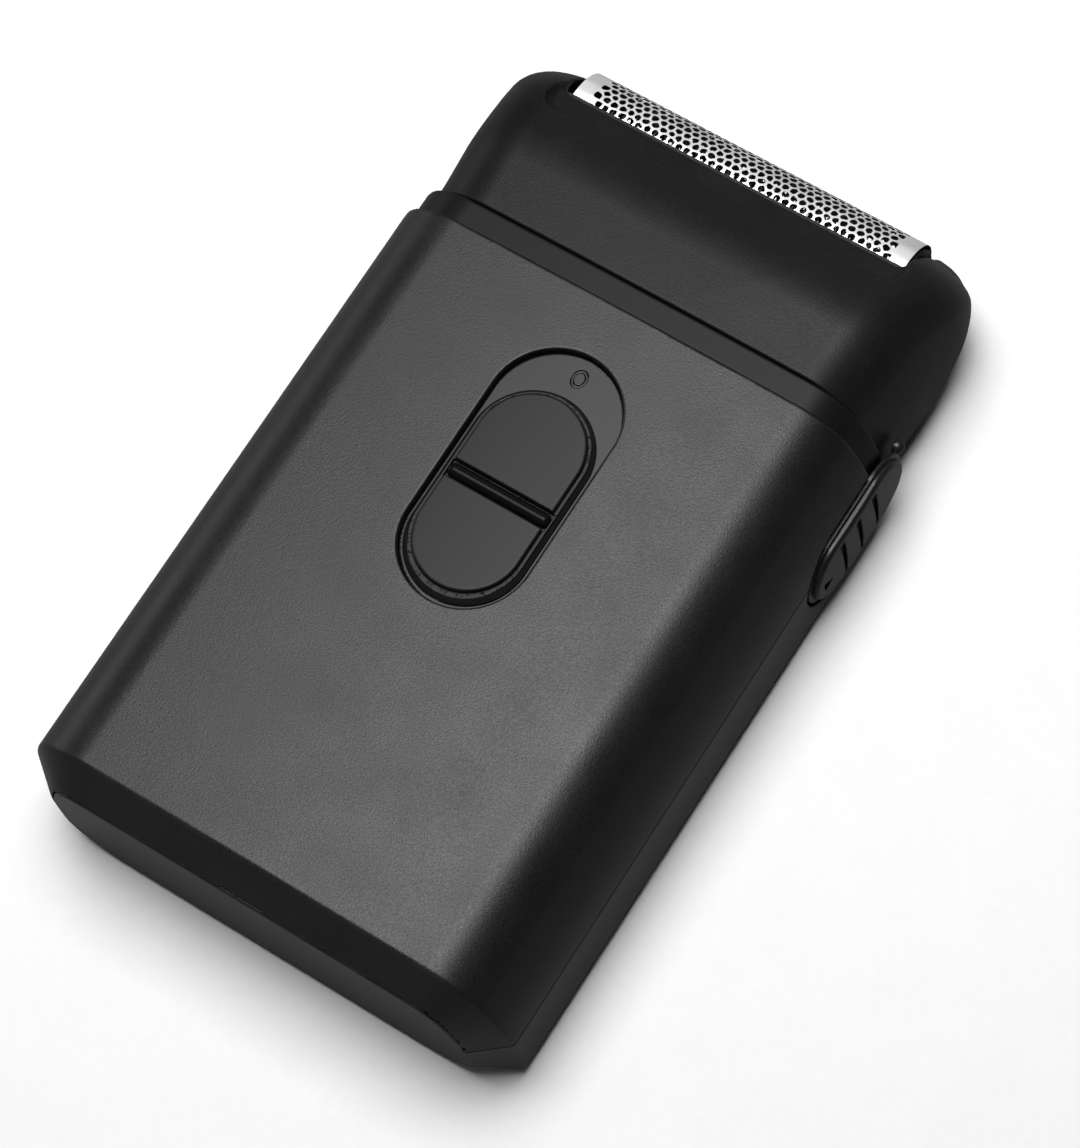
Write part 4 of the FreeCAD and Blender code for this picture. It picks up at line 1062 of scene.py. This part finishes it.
@dataclass
class Trimmer:
    """Side knob of the rear trimmer, with its flange and finger grooves.

    Attributes:
        flange: Inner and outer faces of the flange.
        stem: Inner and outer ends of the stem through the slot.
        nub: Middle of the nub past the knob, along and up.
        nub_in: Where the nub starts.
    """

    z: float = 9.25
    low: float = 16.9
    high: float = 25.0
    half: float = 5.1
    face: float = 31.95
    grooves: tuple[float, ...] = (17.4, 20.6, 23.9)
    arrow: float = 13.85
    flange: tuple[float, float] = (30.45, 30.85)
    stem: tuple[float, float] = (29.25, 31.0)
    groove_half: float = 3.9
    groove_deep: float = 0.62
    arrow_deep: float = 0.4
    nub: tuple[float, float] = (30.9, 11.2)
    nub_in: float = 29.95
    nub_r: float = 0.85

    def knob(self, x: Array, y: Array, z: Array) -> Array:
        """Field of the knob."""
        oval = pill(z - self.z, y, self.low, self.high, self.half)
        middle = 21.0
        flange = np.maximum(oval - 0.5, np.maximum(self.flange[0] - x, x - self.flange[1]))
        bow = 0.012 * (z - self.z) ** 2 + 0.004 * (y - middle) ** 2
        grip = meet(oval + 0.15, x + bow - self.face, 0.5)
        grip = np.maximum(grip, 30.5 - x)
        for at in self.grooves:
            wide = 0.2 + 0.032 * (z - self.z + 4.0)
            groove = np.maximum(np.abs(y - at) - wide, np.abs(z - self.z) - self.groove_half)
            groove = np.maximum(groove, self.face - bow - self.groove_deep - x)
            grip = carve(grip, groove, 0.1)
        tip = 0.5 * (y - self.arrow) + 0.87 * np.abs(z - self.z) - 0.5
        tip = np.maximum(tip, self.arrow - 0.55 - y)
        tip = np.maximum(tip, self.face - bow - self.arrow_deep - x)
        grip = carve(grip, tip, 0.04)
        stem = np.maximum(panel(z - self.z, y - middle, 2.6, 6.0, 0.4),
                          np.maximum(self.stem[0] - x, x - self.stem[1]))
        along, up = y - self.nub[0], z - self.nub[1]
        out = np.maximum(x - self.nub_in - 0.4, 0.0)
        nub = np.sqrt(along ** 2 + up ** 2 + out ** 2) - self.nub_r
        nub = np.maximum(nub, self.nub_in - x)
        return np.minimum(np.minimum(np.minimum(flange, grip), stem), nub)

    def build(self) -> None:
        """Makes the knob."""
        xs = steps((29.1, 30.3, 0.2), (30.3, 32.1, 0.08))
        ys = steps((10.9, 32.0, 0.14))
        zs = steps((3.4, 15.1, 0.16))
        knob = sculpt("trimmer_grip", self.knob, xs, ys, zs)
        dress(knob, KNOB_SATIN, "trimmer", "switch_plastic", "trimmer_knob")


# ------------------------------------------------------------------ carried-over nodes

def dress_nodes() -> None:
    """Gives every frame node that stays its finish, by its material slot."""
    slots = {row["node"]: row["material_slot"] for row in frame["record"]["subparts"]}
    for name, node in frame["nodes"].items():
        # The cutter blades take a near-black painted shade instead of their steel finish.
        finish = BLADES_PAINTED_SHADE if name == "cutter_blades" else SLOT_FINISHES[slots[name]]
        node.data.materials.clear()
        node.data.materials.append(finish.material())
        if not node.hide_render:
            weld = node.modifiers.new("weld", "WELD")
            weld.merge_threshold = WELD_MM * MM
            soft = node.modifiers.new("edges", "BEVEL")
            soft.width = BREAK_MM * MM
            soft.segments = 2
            soft.limit_method = "ANGLE"
            soft.angle_limit = math.radians(40)
            soft.use_clamp_overlap = True
            soft.harden_normals = False
            log.info("%s: dressed in %s", name, finish.name)


# ------------------------------------------------------------------ studio

@dataclass(frozen=True)
class Softbox:
    """A rectangular soft light.

    Attributes:
        name: The lamp's name.
        at: Its place.
        size: Its width and length.
        watts: Its power.
        spread: Its spread in degrees.
        tilt: Its turns about X and Y from facing straight down, in degrees.
    """

    name: str
    at: tuple[float, float, float]
    size: tuple[float, float]
    watts: float
    spread: float = 180.0
    tilt: tuple[float, float] = (0.0, 0.0)

    def hang(self) -> None:
        """Makes the lamp and turns it to its tilt."""
        data = bpy.data.lights.new(self.name, "AREA")
        data.shape = "RECTANGLE"
        data.size, data.size_y = self.size[0] * MM, self.size[1] * MM
        data.energy = self.watts
        data.spread = math.radians(self.spread)
        made = bpy.data.objects.new(self.name, data)
        bpy.context.scene.collection.objects.link(made)
        made.location = Vector(self.at) * MM
        made.rotation_mode = "QUATERNION"
        turn = Euler((*map(math.radians, self.tilt), 0.0))
        made.rotation_quaternion = turn.to_quaternion()


SOFTBOXES = (
    Softbox("top_softbox", (-56.0, 80.0, 700.0), (411.0, 420.0), 2.6, spread=90.0),
    Softbox("back_softbox", (-60.0, 950.0, 420.0), (900.0, 320.0), 0.8, tilt=(-65.0, 0.0)),
    Softbox("left_softbox", (-850.0, -30.0, 170.0), (260.0, 700.0), 1.6, tilt=(0.0, -78.0)),
    Softbox("near_softbox", (-100.0, -850.0, 300.0), (900.0, 360.0), 0.7, tilt=(70.0, 0.0)),
)


@dataclass
class Studio:
    """Pale floor, soft lights and the camera.

    Attributes:
        right: Direction to the picture's right.
        up: Direction to its top.
        back: Direction from the scene to the camera.
    """

    eye: tuple[float, float, float] = (140.05, -114.30, 450.38)
    right: tuple[float, float, float] = (0.83426, 0.53818, -0.11985)
    up: tuple[float, float, float] = (-0.47084, 0.80849, 0.35306)
    back: tuple[float, float, float] = (0.28691, -0.23812, 0.92789)
    lens: float = 135.14
    sensor: float = 36.0
    floor_half: float = 2600.0

    def floor(self) -> None:
        """Lays a wide pale floor under the back face."""
        size = self.floor_half
        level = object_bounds()[0].z / MM
        points = np.array([[-size, -size, level], [size, -size, level], [size, size, level],
                           [-size, size, level]])
        floor = piece("studio_floor", points, [(0, 1, 2, 3)])
        floor.data.materials.append(self.paper())
        floor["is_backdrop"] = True

    def paper(self) -> bpy.types.Material:
        """Matt white paper to the camera; glossy rays see it as a darker grey, a painted dark
        reflection on glossy parts.
        """
        made = Finish("pale_floor", (0.60, 0.60, 0.60), 0.9, grain_mm=1.2, depth=0.05,
                      mottle=0.01).material()
        nodes, links = made.node_tree.nodes, made.node_tree.links
        white = nodes["Principled BSDF"]
        # Painted dark reflection: glossy rays see the floor as a grey diffuse instead of white
        # paper.
        path = nodes.new("ShaderNodeLightPath")
        grey = nodes.new("ShaderNodeBsdfDiffuse")
        grey.inputs["Color"].default_value = (0.16, 0.16, 0.16, 1.0)
        mix = nodes.new("ShaderNodeMixShader")
        links.new(path.outputs["Is Glossy Ray"], mix.inputs["Fac"])
        links.new(white.outputs["BSDF"], mix.inputs[1])
        links.new(grey.outputs["BSDF"], mix.inputs[2])
        links.new(mix.outputs["Shader"], nodes["Material Output"].inputs["Surface"])
        return made

    def camera(self) -> None:
        """Sets the camera."""
        data = bpy.data.cameras.new("view")
        data.sensor_width = self.sensor
        data.lens = self.lens
        data.clip_start, data.clip_end = 0.01, 20.0
        made = bpy.data.objects.new("view", data)
        turn = Matrix((self.right, self.up, self.back)).transposed()
        made.matrix_world = Matrix.Translation(Vector(self.eye) * MM) @ turn.to_4x4()
        bpy.context.scene.collection.objects.link(made)
        bpy.context.scene.camera = made

    def world(self) -> None:
        """Fills the room with a faint even light."""
        room = bpy.data.worlds.new("room")
        room.use_nodes = True
        air = room.node_tree.nodes["Background"]
        air.inputs["Color"].default_value = (0.9, 0.95, 1.0, 1.0)
        air.inputs["Strength"].default_value = 0.02
        bpy.context.scene.world = room

    def build(self) -> None:
        """Makes the whole studio."""
        self.floor()
        self.world()
        for softbox in SOFTBOXES:
            softbox.hang()
        self.camera()
        bpy.context.scene.view_settings.view_transform = "Standard"
        log.info("studio: floor, lights and camera")


# ------------------------------------------------------------------ main

def corners(pair: Sequence[Vector]) -> list[list[float]]:
    """A box's two corners as plain lists."""
    return [list(p) for p in pair]


def main() -> None:
    """Builds the pieces in order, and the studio."""
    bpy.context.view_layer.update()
    for sub in (Casing(), Neck(), Head(), Foil(), PowerSwitch(), Trimmer()):
        sub.build()
    dress_nodes()
    Studio().build()


if __name__ == "__main__":
    main()
